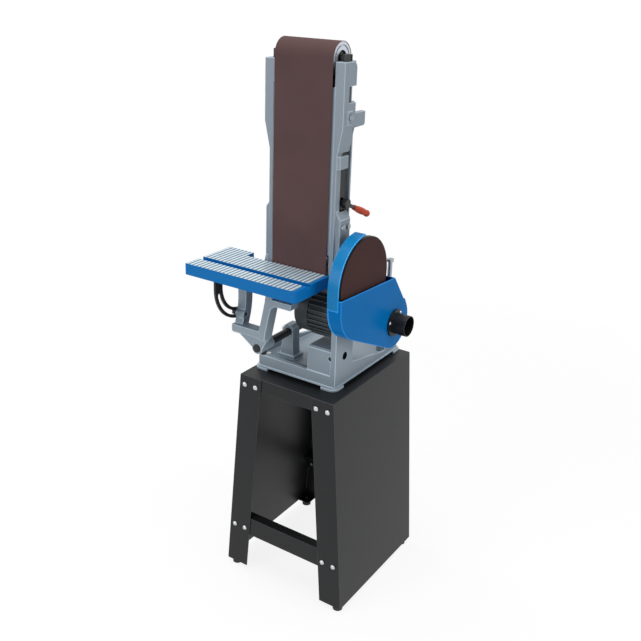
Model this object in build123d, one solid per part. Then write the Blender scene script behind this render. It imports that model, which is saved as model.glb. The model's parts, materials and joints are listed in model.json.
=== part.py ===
from build123d import *
import math
import os

# Belt and disc sander on a sheet steel stand.
# X runs to the disc side, Y to the back, Z up from the floor.
# While the pieces are drawn, the belt's middle is X = 0 and its face is Y = 0.

# Clearances
FIT = 0.03            # fixed fit on the radius
RUN = 0.05            # running fit on the radius
CLEAR = 0.3           # air between moving pieces
HOLE_AIR = 0.2        # air round a bolt in its hole
SEAT_AIR = 0.05       # air under a bolt's head

# Stand
STAND_H = 597.0
STAND_X = -10.0
STAND_TOP_W = 278.0
STAND_SPLAY = 46.0
STAND_FRONT = -28.0
STAND_OVER = 57.0
SHEET = 2.5
LEG_W = 65.0
APRON_H = 36.0
RAIL_Z = 119.0
RAIL_H = 53.0
RAIL_D = 28.0
SHEET_AIR = 0.6
FOOT_H = 15.0
FOOT_R = 13.0
FOOT_TAB = 38.0
FOOT_STEM_R = 4.0
BOLT_R = 4.0
BOLT_HEAD_R = 6.5
BOLT_HEAD_H = 5.0
TOP_BOLT_DROP = 25.0
RAIL_BOLT_RISE = 20.0
BOLT_EDGE = 17.0
BOLT_STEP = 33.0
CLAMP_R = 5.0
CLAMP_HEAD_R = 8.0
CLAMP_HEAD_H = 8.0

# Base casting
BASE_LEFT = -139.0
BASE_RIGHT = 95.0
BASE_FRONT = 26.0
BASE_DEPTH = 323.0
BASE_CORNER = 15.0
BASE_LIP = 6.0
BASE_LIP_H = 11.0
BASE_FRONT_H = 44.0
BASE_SIDE_H = 54.0
BASE_REAR_H = 16.0
BASE_HIGH_Y = 79.0
BASE_WALL = 8.0
DECK_FRONT_H = 36.0
DECK_REAR_H = 9.0
ARCH_H = 8.0
ARCH_LEG = 36.0

# Spindle, disc and drive drum
SPINDLE_RISE = 293.0
SPINDLE_R = 8.5
SPINDLE_LEFT = -100.0
DRIVE_DRUM_R = 45.2
DRUM_W = 148.0
DRUM_WALL = 6.0
BEARING_R = 20.0
BEARING_W = 12.0
TRUNNION_R = 30.0
BEARING_BLOCK_R = 40.0
BLOCK_RIGHT = 124.0
DISC_FACE_X = 152.0
DISC_R = 101.5
DISC_T = 1.5
DISC_PLATE_R = 104.0
DISC_PLATE_T = 9.0

# Sanding belt and idler drum
BELT_W = 150.0
BELT_T = 1.0
DRUM_SPAN = 480.5
IDLER_R = 34.2
IDLER_W = 149.0
IDLER_WALL = 5.0
AXLE_R = 8.0
IDLER_BEARING_R = 17.0

# Arm casting
WEB_IN = 78.0
WEB_OUT = 90.0
BOSS_OUT_R = 102.0
BOSS_OUT_L = 104.0
FOOT_BOSS_OUT = 102.0
FOOT_BOSS_R = 42.0
FOOT_BOSS_REAR = 53.0
WEB_FRONT = 5.0
WEB_REAR = 68.0
BOSS_REAR = 54.0
ARM_TOP_DROP = 4.5
LEFT_TOP_DROP = 9.0
BOSS_SHARE = 0.281
BOSS_TAPER = 60.0
FOOT_BOSS_SHARE = 0.2893
FOOT_TAPER = 18.0
BRIDGE_T = 8.0
PLATEN_T = 3.0
PLATEN_W = 146.0
PLATEN_RISE = 54.0
PLATEN_TOP_DROP = 46.5
WINDOW_LOW = 0.2997
WINDOW_HIGH = 0.678
WINDOW_FRONT = 24.0
WINDOW_EDGE = 5.0
RIB_SHARES = (0.2373, 0.6535, 0.845)
RIB_REACH = 26.0
LUG_SHARE = 0.7055
LUG_H = 31.0
LUG_REACH = 96.0
STEP_OUT = 98.0
STEP_H = 28.0
STEP_REAR = 41.0

# Belt tension
BLOCK_X0 = 79.0
BLOCK_X1 = 94.0
BLOCK_FRONT = 22.0
BLOCK_REAR = 45.0
BLOCK_TOP = 9.5
BLOCK_SHARE = 0.3163
BAR_T = 6.0
BAR_FRONT = 25.0
BAR_REAR = 56.0
COLLAR_SHARE = 0.5245
COLLAR_T = 12.0
SEAT_SHARE = 0.4329
SEAT_T = 8.0
SPRING_R = 7.5
SPRING_X = 69.0
SPRING_Y = 35.0
SPRING_WIRE = 1.3
SPRING_TURNS = 4
SPRING_STEPS = 12
CAM_Y = 41.0
CAM_SHARE = 0.358
CAM_LIFT = 6.0
CAM_SHAFT_R = 6.0
CAM_R = 14.0
CAM_OFF = 8.0
CAM_X0 = 66.0
CAM_X1 = 75.0
LEVER_X = 96.0
LEVER_R = 4.5
LEVER_ANGLE = -24.0
LEVER_STEM = 36.0
GRIP_L = 70.0
GRIP_R = 8.5
GRIP_SIDES = 16
GRIP_BORE = 22.0
TRACK_Y = 31.0
TRACK_SHARE = 0.7534
TRACK_R = 7.0
TRACK_PAD_W = 19.0
TRACK_PAD_H = 29.0
TRACK_PAD_T = 2.5

# Motor and drive
MOTOR_Y = 100.0
MOTOR_RISE = 172.0
MOTOR_LEFT = -41.0
MOTOR_COVER_L = 40.0
MOTOR_FLANGE_T = 14.0
MOTOR_R = 56.0
MOTOR_BORE_R = 50.0
FIN_H = 6.0
FIN_T = 2.6
FIN_N = 30
MOTOR_SHAFT_R = 7.0
ROTOR_R = 30.0
MOTOR_BEARING_R = 16.0
SPINDLE_PULLEY_R = 34.0
MOTOR_PULLEY_R = 26.0
PULLEY_W = 13.0
GROOVE_W = 8.6
GROOVE_D = 8.0
VBELT_W = 7.6
VBELT_T = 6.0
UPRIGHT_X = 80.0
UPRIGHT_T = 15.0
UPRIGHT_REAR = 165.0
BRIDGE_TOP = 237.0

# Disc housing, guard and dust port
HOUSING_R = 113.0
HOUSING_WALL = 4.0
HOUSING_BACK_T = 3.0
HOUSING_FRONT_X = 152.0
RIM_START = 93.0
RIM_END = 200.0
GUARD_FACE_X = 161.0
GUARD_T = 3.0
GUARD_TOP_DROP = 20.0
GUARD_SLOPE = 2.5
GUARD_CORNER_R = 90.0
GUARD_CORNER_Y = 24.5
GUARD_CORNER_DROP = 42.0
CHUTE_Y = 191.0
CHUTE_DROP = 147.0
CHUTE_R = 66.0
PORT_Y = 186.0
PORT_DROP = 145.0
PORT_R = 26.0
PORT_WALL = 2.5
PORT_L = 42.0
PORT_FLANGE_R = 34.5
PORT_FLANGE_T = 5.0

# Pedestal with the second rod socket
PED_LEFT = 13.0
PED_FRONT = 29.0
PED_REAR = 105.0
PED_H = 103.0
SOCKET_Y = 70.0
SOCKET_RISE = 82.0
SOCKET_DEPTH = 60.0
SET_INSET = 18.0

# Stop column and stud
STUD_X = 86.0
STUD_Y = 287.0
STUD_R = 6.0
STUD_HEAD_R = 10.0
STUD_HEAD_H = 7.0
COLUMN_TOP = 204.0
COLUMN_W = 26.0
COLUMN_FRONT = 276.0
COLUMN_REAR = 300.0
COLUMN_FOOT_REAR = 336.0
STUD_DEPTH = 30.0

# Table with rod, yoke and quadrant
TABLE_L = 311.5
TABLE_LEFT = -223.0
TABLE_D = 134.0
TABLE_GAP = 4.0
TABLE_RISE = 12.0
TABLE_T = 27.5
TABLE_SKIN = 10.0
TABLE_WALL = 8.0
TAB_L = 74.0
TAB_D = 30.0
MITRE_W = 17.0
MITRE_D = 7.0
MITRE_FROM_FRONT = 54.0
RIB_PITCH = 11.2
GROOVE_CUT_W = 3.2
GROOVE_CUT_D = 0.8
TILT_Y = -45.0
TILT_DROP = 48.0
PIN_R = 6.0
LUG_R = 14.0
LUG_T = 12.0
ROD_R = 10.0
ROD_X = -69.0
ROD_RISE = 105.0
ROD_FRONT = -68.0
ROD_L = 198.0
YOKE_ARM_L = -134.0
YOKE_ARM_T = 24.0
YOKE_ARM_R = -48.0
YOKE_ARM_W = 19.0
YOKE_LEAN = 8.0
YOKE_FRONT = -80.0
YOKE_REAR = -50.0
YOKE_WEB_RISE = 136.0
YOKE_WEB_H = 21.0
YOKE_SWAN_W = 26.0
YOKE_SWAN_BOW = 2.0
YOKE_FLANGE_R = 26.0
YOKE_FLANGE_T = 14.0
YOKE_FLANGE_DROP = 20.0
YOKE_BOSS_R = 15.0
HUB_R = 15.0
HUB_L = 52.0
QUAD_T = 5.0
QUAD_OUT = 92.0
QUAD_IN = 66.0
QUAD_START = 180.0
QUAD_END = 282.0
QUAD_SLOT_R = 79.0
QUAD_SLOT_W = 10.6
QUAD_SLOT_START = 192.0
QUAD_SLOT_END = 268.0
LOCK_ANGLE = 264.0
LOCK_R = 5.0
POST_X0 = -86.0
POST_X1 = -55.0
POST_FRONT = 63.0
POST_D = 30.0
POST_HEAD = 19.0

# Heights and places that follow from the sizes above
BASE_Z = STAND_H
SPINDLE_Z = BASE_Z + SPINDLE_RISE
SPINDLE_Y = DRIVE_DRUM_R + CLEAR + BELT_T
IDLER_Y = IDLER_R + CLEAR + BELT_T
IDLER_Z = SPINDLE_Z + DRUM_SPAN
ARM_TOP = IDLER_Z - ARM_TOP_DROP
TABLE_Z = SPINDLE_Z + TABLE_RISE
TILT_Z = TABLE_Z - TILT_DROP
ROD_Z = BASE_Z + ROD_RISE
MOTOR_Z = BASE_Z + MOTOR_RISE
CAM_Z = SPINDLE_Z + CAM_SHARE * DRUM_SPAN
SEAT_Z = SPINDLE_Z + SEAT_SHARE * DRUM_SPAN
COLLAR_Z = SPINDLE_Z + COLLAR_SHARE * DRUM_SPAN
TRACK_Z = SPINDLE_Z + TRACK_SHARE * DRUM_SPAN
WINDOW_Z = SPINDLE_Z + WINDOW_LOW * DRUM_SPAN
WINDOW_TOP = SPINDLE_Z + WINDOW_HIGH * DRUM_SPAN
GUARD_TOP = SPINDLE_Z - GUARD_TOP_DROP
BASE_REAR = BASE_FRONT + BASE_DEPTH
STAND_DEPTH = BASE_DEPTH + STAND_OVER
STAND_REAR = STAND_FRONT + STAND_DEPTH
HOUSING_X = BLOCK_RIGHT
PULLEY_X0 = HOUSING_X + HOUSING_BACK_T + 1.0
PULLEY_X1 = PULLEY_X0 + PULLEY_W
PLATE_X1 = DISC_FACE_X - DISC_T
PLATE_X0 = PLATE_X1 - DISC_PLATE_T
PLATEN_H = DRUM_SPAN - PLATEN_RISE - PLATEN_TOP_DROP
BLOCK_H = BLOCK_SHARE * DRUM_SPAN
FOOT_BOSS_H = FOOT_BOSS_SHARE * DRUM_SPAN
BLOCK_LOW = IDLER_Z + BLOCK_TOP - BLOCK_H
BAR_X = BLOCK_X0
WINDOW_REAR = WEB_REAR - WINDOW_EDGE
MOTOR_RIGHT = UPRIGHT_X
UPRIGHT_X1 = UPRIGHT_X + UPRIGHT_T
SET_X = BASE_RIGHT - SET_INSET
CENTRE = (Align.CENTER, Align.CENTER, Align.MIN)


# Solids by their limits
def block(x0, x1, y0, y1, z0, z1):
    middle = Pos((x0 + x1) / 2, (y0 + y1) / 2, (z0 + z1) / 2)
    return middle * Box(x1 - x0, y1 - y0, z1 - z0)


def xcyl(x0, x1, r, y, z):
    return Pos(x0, y, z) * Rot(0, 90, 0) * Cylinder(r, x1 - x0, align=CENTRE)


def ycyl(y0, y1, r, x, z):
    return Pos(x, y0, z) * Rot(-90, 0, 0) * Cylinder(r, y1 - y0, align=CENTRE)


def zcyl(z0, z1, r, x, y):
    return Pos(x, y, z0) * Cylinder(r, z1 - z0, align=CENTRE)


def on_side(sketch, x0, x1):
    return extrude(Plane.YZ.offset(x0) * sketch, amount=x1 - x0, dir=(1, 0, 0))


def on_front(sketch, y0, y1):
    return extrude(Plane.XZ.offset(-y0) * sketch, amount=y1 - y0, dir=(0, 1, 0))


def on_top(sketch, z0, z1):
    return extrude(Plane.XY.offset(z0) * sketch, amount=z1 - z0, dir=(0, 0, 1))


def outline(*points):
    return Polygon(*points, align=None)


def spot(r, u, v):
    return Pos(u, v) * Circle(r)


def rect(u0, u1, v0, v1):
    return Pos((u0 + u1) / 2, (v0 + v1) / 2) * Rectangle(u1 - u0, v1 - v0)


def hull(*faces):
    edges = ShapeList()
    for face in faces:
        edges += face.edges()
    return make_hull(edges)


def hexagon(r):
    return RegularPolygon(r, 6)


def xhex(x0, x1, r, y, z):
    return Pos(x0, y, z) * Rot(0, 90, 0) * extrude(hexagon(r), x1 - x0)


def polar(angle, r, y, z):
    a = math.radians(angle)
    return (y + r * math.cos(a), z + r * math.sin(a))


# Wedge and ring sector between two angles in the plane seen from the disc side
def wedge(y, z, reach, start, end):
    steps = 6
    points = [(y, z)]
    for i in range(steps + 1):
        points.append(polar(start + (end - start) * i / steps, reach, y, z))
    return outline(*points)


def sector(y, z, r_in, r_out, start, end):
    ring = spot(r_out, y, z) - spot(r_in, y, z)
    return ring & wedge(y, z, 1.6 * r_out, start, end)


# Stand: side panel with its front and rear legs bent from one sheet
def panel_x(side, z):
    top = STAND_X + side * STAND_TOP_W / 2
    return top + side * STAND_SPLAY * (STAND_H - z) / (STAND_H - FOOT_H)


def bolt_places(side):
    rows = [STAND_H - TOP_BOLT_DROP, RAIL_Z + RAIL_BOLT_RISE]
    places = []
    for z in rows:
        for step in (0, 1):
            places.append((panel_x(side, z) - side * (BOLT_EDGE + step * BOLT_STEP), z))
    return places


# Square hole for the neck of a coach bolt
def bolt_hole(y0, y1, x, z):
    half = BOLT_R + HOLE_AIR
    return block(x - half, x + half, y0 - 1, y1 + 1, z - half, z + half)


def leg_outline(side, width):
    top, low = panel_x(side, STAND_H), panel_x(side, FOOT_H)
    return outline((top, STAND_H), (top - side * width, STAND_H),
                   (low - side * width, FOOT_H), (low, FOOT_H))


def foot_places(side):
    x = panel_x(side, FOOT_H) - side * FOOT_TAB / 2
    half = FOOT_TAB / 2
    return [(x, STAND_FRONT + half), (x, STAND_REAR - half)]


def stand_side(side):
    panel = on_front(leg_outline(1, SHEET), STAND_FRONT, STAND_REAR)
    panel += on_front(leg_outline(1, LEG_W), STAND_FRONT, STAND_FRONT + SHEET)
    panel += on_front(leg_outline(1, LEG_W), STAND_REAR - SHEET, STAND_REAR)
    low = panel_x(1, FOOT_H)
    half = FOOT_TAB / 2
    for x, y in foot_places(1):
        panel += block(low - FOOT_TAB, low - SHEET / 2, y - half, y + half, FOOT_H, FOOT_H + SHEET)
    for x, y in foot_places(1):
        panel -= zcyl(FOOT_H - 1, FOOT_H + SHEET + 1, FOOT_STEM_R + HOLE_AIR, x, y)
    for x, z in bolt_places(1):
        panel -= bolt_hole(STAND_FRONT, STAND_FRONT + SHEET, x, z)
        panel -= bolt_hole(STAND_REAR - SHEET, STAND_REAR, x, z)
    return panel if side > 0 else mirror(panel, Plane.YZ.offset(STAND_X))


# Stand: tray with front and rear aprons turned down
def stand_tray():
    x0 = panel_x(-1, STAND_H) + SHEET + SHEET_AIR
    x1 = panel_x(1, STAND_H) - SHEET - SHEET_AIR
    y0, y1 = STAND_FRONT + SHEET, STAND_REAR - SHEET
    tray = block(x0, x1, y0, y1, STAND_H - SHEET, STAND_H)
    for a, b in ((y0, y0 + SHEET), (y1 - SHEET, y1)):
        tray += block(x0, x1, a, b, STAND_H - APRON_H, STAND_H)
    for side in (-1, 1):
        for x, z in bolt_places(side)[:2]:
            tray -= bolt_hole(y0, y0 + SHEET, x, z)
            tray -= bolt_hole(y1 - SHEET, y1, x, z)
    for x, y in base_bolt_places():
        tray -= zcyl(STAND_H - SHEET - 1, STAND_H + 1, BOLT_R + HOLE_AIR, x, y)
    return tray


# Stand: lower rail, an upright leg with a top flange turned inwards
def stand_rail(front):
    z0, z1 = RAIL_Z, RAIL_Z + RAIL_H
    gap = SHEET + SHEET_AIR
    face = outline((panel_x(-1, z0) + gap, z0), (panel_x(1, z0) - gap, z0),
                   (panel_x(1, z1) - gap, z1), (panel_x(-1, z1) + gap, z1))
    flange = outline((panel_x(-1, z1) + gap, z1 - SHEET), (panel_x(1, z1) - gap, z1 - SHEET),
                     (panel_x(1, z1) - gap, z1), (panel_x(-1, z1) + gap, z1))
    if front:
        y0, y1 = STAND_FRONT + SHEET, STAND_FRONT + 2 * SHEET
        rail = on_front(face, y0, y1) + on_front(flange, y0, y0 + RAIL_D)
    else:
        y0, y1 = STAND_REAR - 2 * SHEET, STAND_REAR - SHEET
        rail = on_front(face, y0, y1) + on_front(flange, y1 - RAIL_D, y1)
    for side in (-1, 1):
        for x, z in bolt_places(side)[2:]:
            rail -= bolt_hole(y0, y1, x, z)
    return rail


# Coach bolt with a low domed head above the seat and a square neck below
def coach_bolt(reach):
    head = extrude(RegularPolygon(BOLT_HEAD_R, 12), BOLT_HEAD_H)
    head = chamfer(head.edges().group_by(Axis.Z)[-1], BOLT_HEAD_H / 2)
    return head + extrude(Rectangle(2 * BOLT_R, 2 * BOLT_R), -reach)


# Stand bolts with their heads on the outside of the legs
def stand_bolts():
    bolts = []
    bolt = coach_bolt(3 * SHEET + 4.0)
    for side in (-1, 1):
        for x, z in bolt_places(side):
            front, rear = STAND_FRONT - SEAT_AIR, STAND_REAR + SEAT_AIR
            bolts.append(Pos(x, front, z) * Rot(90, 0, 0) * bolt)
            bolts.append(Pos(x, rear, z) * Rot(-90, 0, 0) * bolt)
    return bolts


# Glide feet, each a round pad under a nut, with a stem through its tab
def stand_feet():
    feet = []
    for side in (-1, 1):
        for x, y in foot_places(side):
            foot = zcyl(0, FOOT_H * 0.55, FOOT_R, x, y)
            foot += on_top(Pos(x, y) * hexagon(FOOT_R - 3), FOOT_H / 2, FOOT_H)
            foot += zcyl(FOOT_H - 1, FOOT_H + SHEET + 7, FOOT_STEM_R, x, y)
            feet.append(foot)
    return feet


# Base: bolts through the plinth's corner pads into the tray
def base_bolt_places():
    inset = BASE_WALL + 14
    x = BASE_LEFT + inset
    return [(x, BASE_FRONT + inset), (x, BASE_REAR - inset)]


def base_footprint(inset, radius):
    w = BASE_RIGHT - BASE_LEFT - 2 * inset
    d = BASE_DEPTH - 2 * inset
    place = Pos((BASE_LEFT + BASE_RIGHT) / 2, BASE_FRONT + BASE_DEPTH / 2)
    return place * RectangleRounded(w, d, radius)


def deck_z(y):
    share = (y - BASE_FRONT) / BASE_DEPTH
    return BASE_Z + DECK_FRONT_H + (DECK_REAR_H - DECK_FRONT_H) * share


def base_plinth():
    z, wall = BASE_Z, BASE_WALL
    high = BASE_FRONT + BASE_HIGH_Y
    low = BASE_REAR - BASE_HIGH_Y / 2
    profile = outline((BASE_FRONT, z), (BASE_FRONT + 2, z + BASE_FRONT_H - 6),
                      (BASE_FRONT + wall, z + BASE_FRONT_H), (high, z + BASE_SIDE_H),
                      (low, z + BASE_REAR_H), (BASE_REAR, z + BASE_REAR_H), (BASE_REAR, z))
    tall = 2 * BASE_SIDE_H
    plinth = on_side(profile, BASE_LEFT, BASE_RIGHT)
    plinth &= on_top(base_footprint(0, BASE_CORNER), z, z + tall)
    lip = on_top(base_footprint(-BASE_LIP, BASE_CORNER + BASE_LIP), z, z + BASE_LIP_H)
    lip = chamfer(lip.edges().group_by(Axis.Z)[-1], BASE_LIP - 1)
    plinth += lip & block(BASE_LEFT - BASE_LIP, BASE_RIGHT + BASE_LIP, BASE_FRONT - BASE_LIP,
                          BASE_REAR, z, z + BASE_LIP_H)
    inner = base_footprint(wall, BASE_CORNER - wall + 1)
    a, b = BASE_FRONT, BASE_REAR
    tray = outline((a, deck_z(a)), (b, deck_z(b)), (b, z + tall), (a, z + tall))
    plinth -= on_side(tray, BASE_LEFT, BASE_RIGHT) & on_top(inner, z, z + tall)
    under = outline((a, z - 1), (b, z - 1), (b, deck_z(b) - wall), (a, deck_z(a) - wall))
    plinth -= on_side(under, BASE_LEFT, BASE_RIGHT) & on_top(inner, z - 1, z + tall)
    # arched gaps between the corner feet
    far = BASE_LIP + 1
    plinth -= block(BASE_LEFT + ARCH_LEG, BASE_RIGHT - ARCH_LEG, BASE_FRONT - far,
                    BASE_REAR + far, z - 1, z + ARCH_H)
    plinth -= block(BASE_LEFT - far, BASE_RIGHT + far, BASE_FRONT + ARCH_LEG,
                    BASE_REAR - ARCH_LEG, z - 1, z + ARCH_H)
    for x, y in base_bolt_places():
        plinth += zcyl(z, deck_z(y), 2 * BOLT_HEAD_R, x, y)
    for x, y in base_bolt_places():
        plinth -= zcyl(deck_z(y), z + BASE_SIDE_H, 2 * BOLT_HEAD_R - 1, x, y)
        plinth -= zcyl(z - 1, z + BASE_SIDE_H, BOLT_R + HOLE_AIR, x, y)
    return plinth


# Base: post that carries the table rod
def base_post():
    x0, x1, y0 = POST_X0, POST_X1, POST_FRONT
    y1 = y0 + POST_D
    top = ROD_Z + POST_HEAD
    foot = deck_z(y1) - BASE_WALL / 2
    face = outline((x0 - 8, foot), (x1 + 4, foot), (x1, foot + 40), (x1, top - 8), (x1 - 8, top),
                   (x0 + 9, top), (x0, top - 12), (x0, foot + 64))
    post = on_front(face, y0, y1)
    post += block(x0 - 13, x1 + 8, y0 - 4, y1 + 8, foot, deck_z(y0) + 9)
    return post


# Base: hollow pedestal with the socket that takes the rod at the disc
def base_pedestal():
    z0 = BASE_Z + DECK_REAR_H
    top = BASE_Z + PED_H
    wall = BASE_WALL
    side = outline((PED_FRONT - 1, z0), (PED_REAR, z0), (PED_REAR, top - 2), (PED_FRONT + 6, top),
                   (PED_FRONT + 2, top - 4))
    ped = on_side(side, PED_LEFT, BASE_RIGHT)
    ped -= block(PED_LEFT + wall, UPRIGHT_X - 1, PED_FRONT + wall, PED_REAR - wall,
                 z0 - 1, top - wall)
    sz = BASE_Z + SOCKET_RISE
    ped += xcyl(BASE_RIGHT - SOCKET_DEPTH - wall, BASE_RIGHT, ROD_R + wall, SOCKET_Y, sz)
    return ped


# Base: upright plate for the motor, with the spindle's bearing block and trunnion
def base_upright():
    z = BASE_Z
    y, sz = SPINDLE_Y, SPINDLE_Z
    top = z + BRIDGE_TOP
    low = z + PED_H + 8
    side = outline((PED_FRONT - 1, z + DECK_REAR_H), (PED_REAR, z + DECK_REAR_H), (PED_REAR, low),
                   (UPRIGHT_REAR, low - 12), (UPRIGHT_REAR, top - 14),
                   (UPRIGHT_REAR - 40, top), (y - 36, top), (PED_FRONT - 1, low + 40))
    up = on_side(side, UPRIGHT_X, UPRIGHT_X1)
    shoulder = FOOT_BOSS_OUT + CLEAR
    stem = outline((y - 34, top - 48), (y + 40, top - 48), (y + 36, top), (y + 36, sz),
                   (y - 36, sz), (y - 36, top))
    up += on_side(stem, shoulder, BLOCK_RIGHT)
    up += block(UPRIGHT_X, BLOCK_RIGHT, y - 34, y + 40, top - 48, top)
    up += xcyl(shoulder, BLOCK_RIGHT, BEARING_BLOCK_R, y, sz)
    up += xcyl(WEB_IN + 1, shoulder, TRUNNION_R, y, sz)
    return up


# Base: column for the stop stud
def base_column():
    foot = deck_z(COLUMN_FOOT_REAR) - BASE_WALL / 2
    top = BASE_Z + COLUMN_TOP
    side = outline((COLUMN_FRONT - 6, foot), (COLUMN_FOOT_REAR, foot), (COLUMN_REAR, top - 60),
                   (COLUMN_REAR, top), (COLUMN_FRONT, top))
    x1 = min(STUD_X + COLUMN_W / 2, BASE_RIGHT)
    return on_side(side, x1 - COLUMN_W, x1)


def base_casting():
    y, sz = SPINDLE_Y, SPINDLE_Z
    base = base_plinth() + base_post() + base_pedestal() + base_upright() + base_column()
    # rod bore in the post and blind socket in the pedestal
    base -= ycyl(POST_FRONT - 5, POST_FRONT + POST_D + 9, ROD_R + RUN, ROD_X, ROD_Z)
    base -= xcyl(BASE_RIGHT - SOCKET_DEPTH, BASE_RIGHT + 1, ROD_R + RUN, SOCKET_Y,
                 BASE_Z + SOCKET_RISE)
    # bearing seats and the shoulder between them
    step = WEB_IN + 1 + 5
    base -= xcyl(WEB_IN, BLOCK_RIGHT + 1, SPINDLE_R + 4.5, y, sz)
    base -= xcyl(step, BLOCK_RIGHT + 1, BEARING_R + FIT, y, sz)
    # motor shaft hole and spigot
    base -= xcyl(UPRIGHT_X - 1, BLOCK_RIGHT + 1, MOTOR_SHAFT_R + 6, MOTOR_Y, MOTOR_Z)
    # clamp screw holes and the stud's bore
    base -= xcyl(POST_X0 - 5, ROD_X, CLAMP_R + FIT, POST_FRONT + POST_D / 2, ROD_Z)
    base -= ycyl(PED_FRONT - 5, SOCKET_Y, CLAMP_R + FIT, SET_X, BASE_Z + SOCKET_RISE)
    base -= zcyl(BASE_Z + COLUMN_TOP - STUD_DEPTH, BASE_Z + COLUMN_TOP + 1, STUD_R + FIT,
                 STUD_X, STUD_Y)
    return base


# Screw that clamps the table rod in the post
def rod_clamp_screw():
    y = POST_FRONT + POST_D / 2
    head = POST_X0 - 1
    screw = xcyl(head - 1, ROD_X - ROD_R - CLEAR, CLAMP_R, y, ROD_Z)
    return screw + xhex(head - CLAMP_HEAD_H, head, CLAMP_HEAD_R, y, ROD_Z)


# Sunk set screw of the pedestal's socket
def socket_set_screw():
    z = BASE_Z + SOCKET_RISE
    return ycyl(PED_FRONT + 3, SOCKET_Y - ROD_R - 3, CLAMP_R, SET_X, z)


# Bolt that holds the plinth down on the tray
def base_bolt(place):
    x, y = place
    z = deck_z(y) + SEAT_AIR
    shank = zcyl(BASE_Z - SHEET - 8, z + 1, BOLT_R, x, y)
    return shank + on_top(Pos(x, y) * hexagon(BOLT_HEAD_R), z, z + BOLT_HEAD_H)


# Stop stud on which the arm lies when it is put back
def stop_stud():
    top = SPINDLE_Z - (WEB_REAR - SPINDLE_Y) - CLEAR
    stud = zcyl(BASE_Z + COLUMN_TOP - STUD_DEPTH + 1, top - STUD_HEAD_H, STUD_R, STUD_X, STUD_Y)
    return stud + on_top(Pos(STUD_X, STUD_Y) * hexagon(STUD_HEAD_R), top - STUD_HEAD_H, top)


def stop_nut():
    z = BASE_Z + COLUMN_TOP + SEAT_AIR
    nut = on_top(Pos(STUD_X, STUD_Y) * hexagon(STUD_HEAD_R), z, z + 9)
    return nut - zcyl(z - 1, z + 10, STUD_R + FIT, STUD_X, STUD_Y)


# Spindle and what turns with it
def ring(x0, x1, r_in, r_out, y, z):
    return xcyl(x0, x1, r_out, y, z) - xcyl(x0 - 1, x1 + 1, r_in, y, z)


def spindle():
    return xcyl(SPINDLE_LEFT, PLATE_X1 - 3, SPINDLE_R, SPINDLE_Y, SPINDLE_Z)


def spindle_bearings():
    seat = WEB_IN + 6
    places = (seat, BLOCK_RIGHT - BEARING_W)
    return [ring(x, x + BEARING_W, SPINDLE_R + RUN, BEARING_R, SPINDLE_Y, SPINDLE_Z)
            for x in places]


def arm_bearing():
    x1 = -FOOT_BOSS_OUT + BEARING_W + 1
    return ring(x1 - BEARING_W, x1, SPINDLE_R + RUN, BEARING_R, SPINDLE_Y, SPINDLE_Z)


# Drum with a rim, two webs and a hub
def drum(width, r, wall, hub, bore, y, z):
    half = width / 2
    shell = ring(-half, half, bore, r, y, z)
    hollow = ring(-half + 8, half - 8, hub, r - wall, y, z)
    shell -= hollow
    for side in (-1, 1):
        x0, x1 = sorted((side * (half - 3), side * (half + 1)))
        shell -= ring(x0, x1, hub + 2, r - wall - 1, y, z)
    return shell


def drive_drum():
    return drum(DRUM_W, DRIVE_DRUM_R, DRUM_WALL, SPINDLE_R + 9, SPINDLE_R + FIT,
                SPINDLE_Y, SPINDLE_Z)


def disc_plate():
    plate = xcyl(PLATE_X0, PLATE_X1, DISC_PLATE_R, SPINDLE_Y, SPINDLE_Z)
    plate -= ring(PLATE_X0 - 1, PLATE_X0 + 3, SPINDLE_R + 12, DISC_PLATE_R - 12,
                  SPINDLE_Y, SPINDLE_Z)
    return plate - xcyl(PLATE_X0 - 1, PLATE_X1 - 2.5, SPINDLE_R + FIT, SPINDLE_Y, SPINDLE_Z)


def abrasive_disc():
    return xcyl(PLATE_X1, DISC_FACE_X, DISC_R, SPINDLE_Y, SPINDLE_Z)


# Pulley with a groove for the drive belt
def pulley(r, bore, y, z):
    middle = (PULLEY_X0 + PULLEY_X1) / 2
    body = ring(PULLEY_X0, PULLEY_X1, bore, r, y, z)
    return body - ring(middle - GROOVE_W / 2, middle + GROOVE_W / 2, r - GROOVE_D, r + 1, y, z)


def spindle_pulley():
    return pulley(SPINDLE_PULLEY_R, SPINDLE_R + FIT, SPINDLE_Y, SPINDLE_Z)


def motor_pulley():
    return pulley(MOTOR_PULLEY_R, MOTOR_SHAFT_R + FIT, MOTOR_Y, MOTOR_Z)


def drive_belt():
    middle = (PULLEY_X0 + PULLEY_X1) / 2
    a = SPINDLE_PULLEY_R - GROOVE_D + CLEAR
    b = MOTOR_PULLEY_R - GROOVE_D + CLEAR
    outer = hull(spot(a + VBELT_T, SPINDLE_Y, SPINDLE_Z), spot(b + VBELT_T, MOTOR_Y, MOTOR_Z))
    inner = hull(spot(a, SPINDLE_Y, SPINDLE_Z), spot(b, MOTOR_Y, MOTOR_Z))
    x0, x1 = middle - VBELT_W / 2, middle + VBELT_W / 2
    return on_side(outer, x0, x1) - on_side(inner, x0 - 1, x1 + 1)


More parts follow.
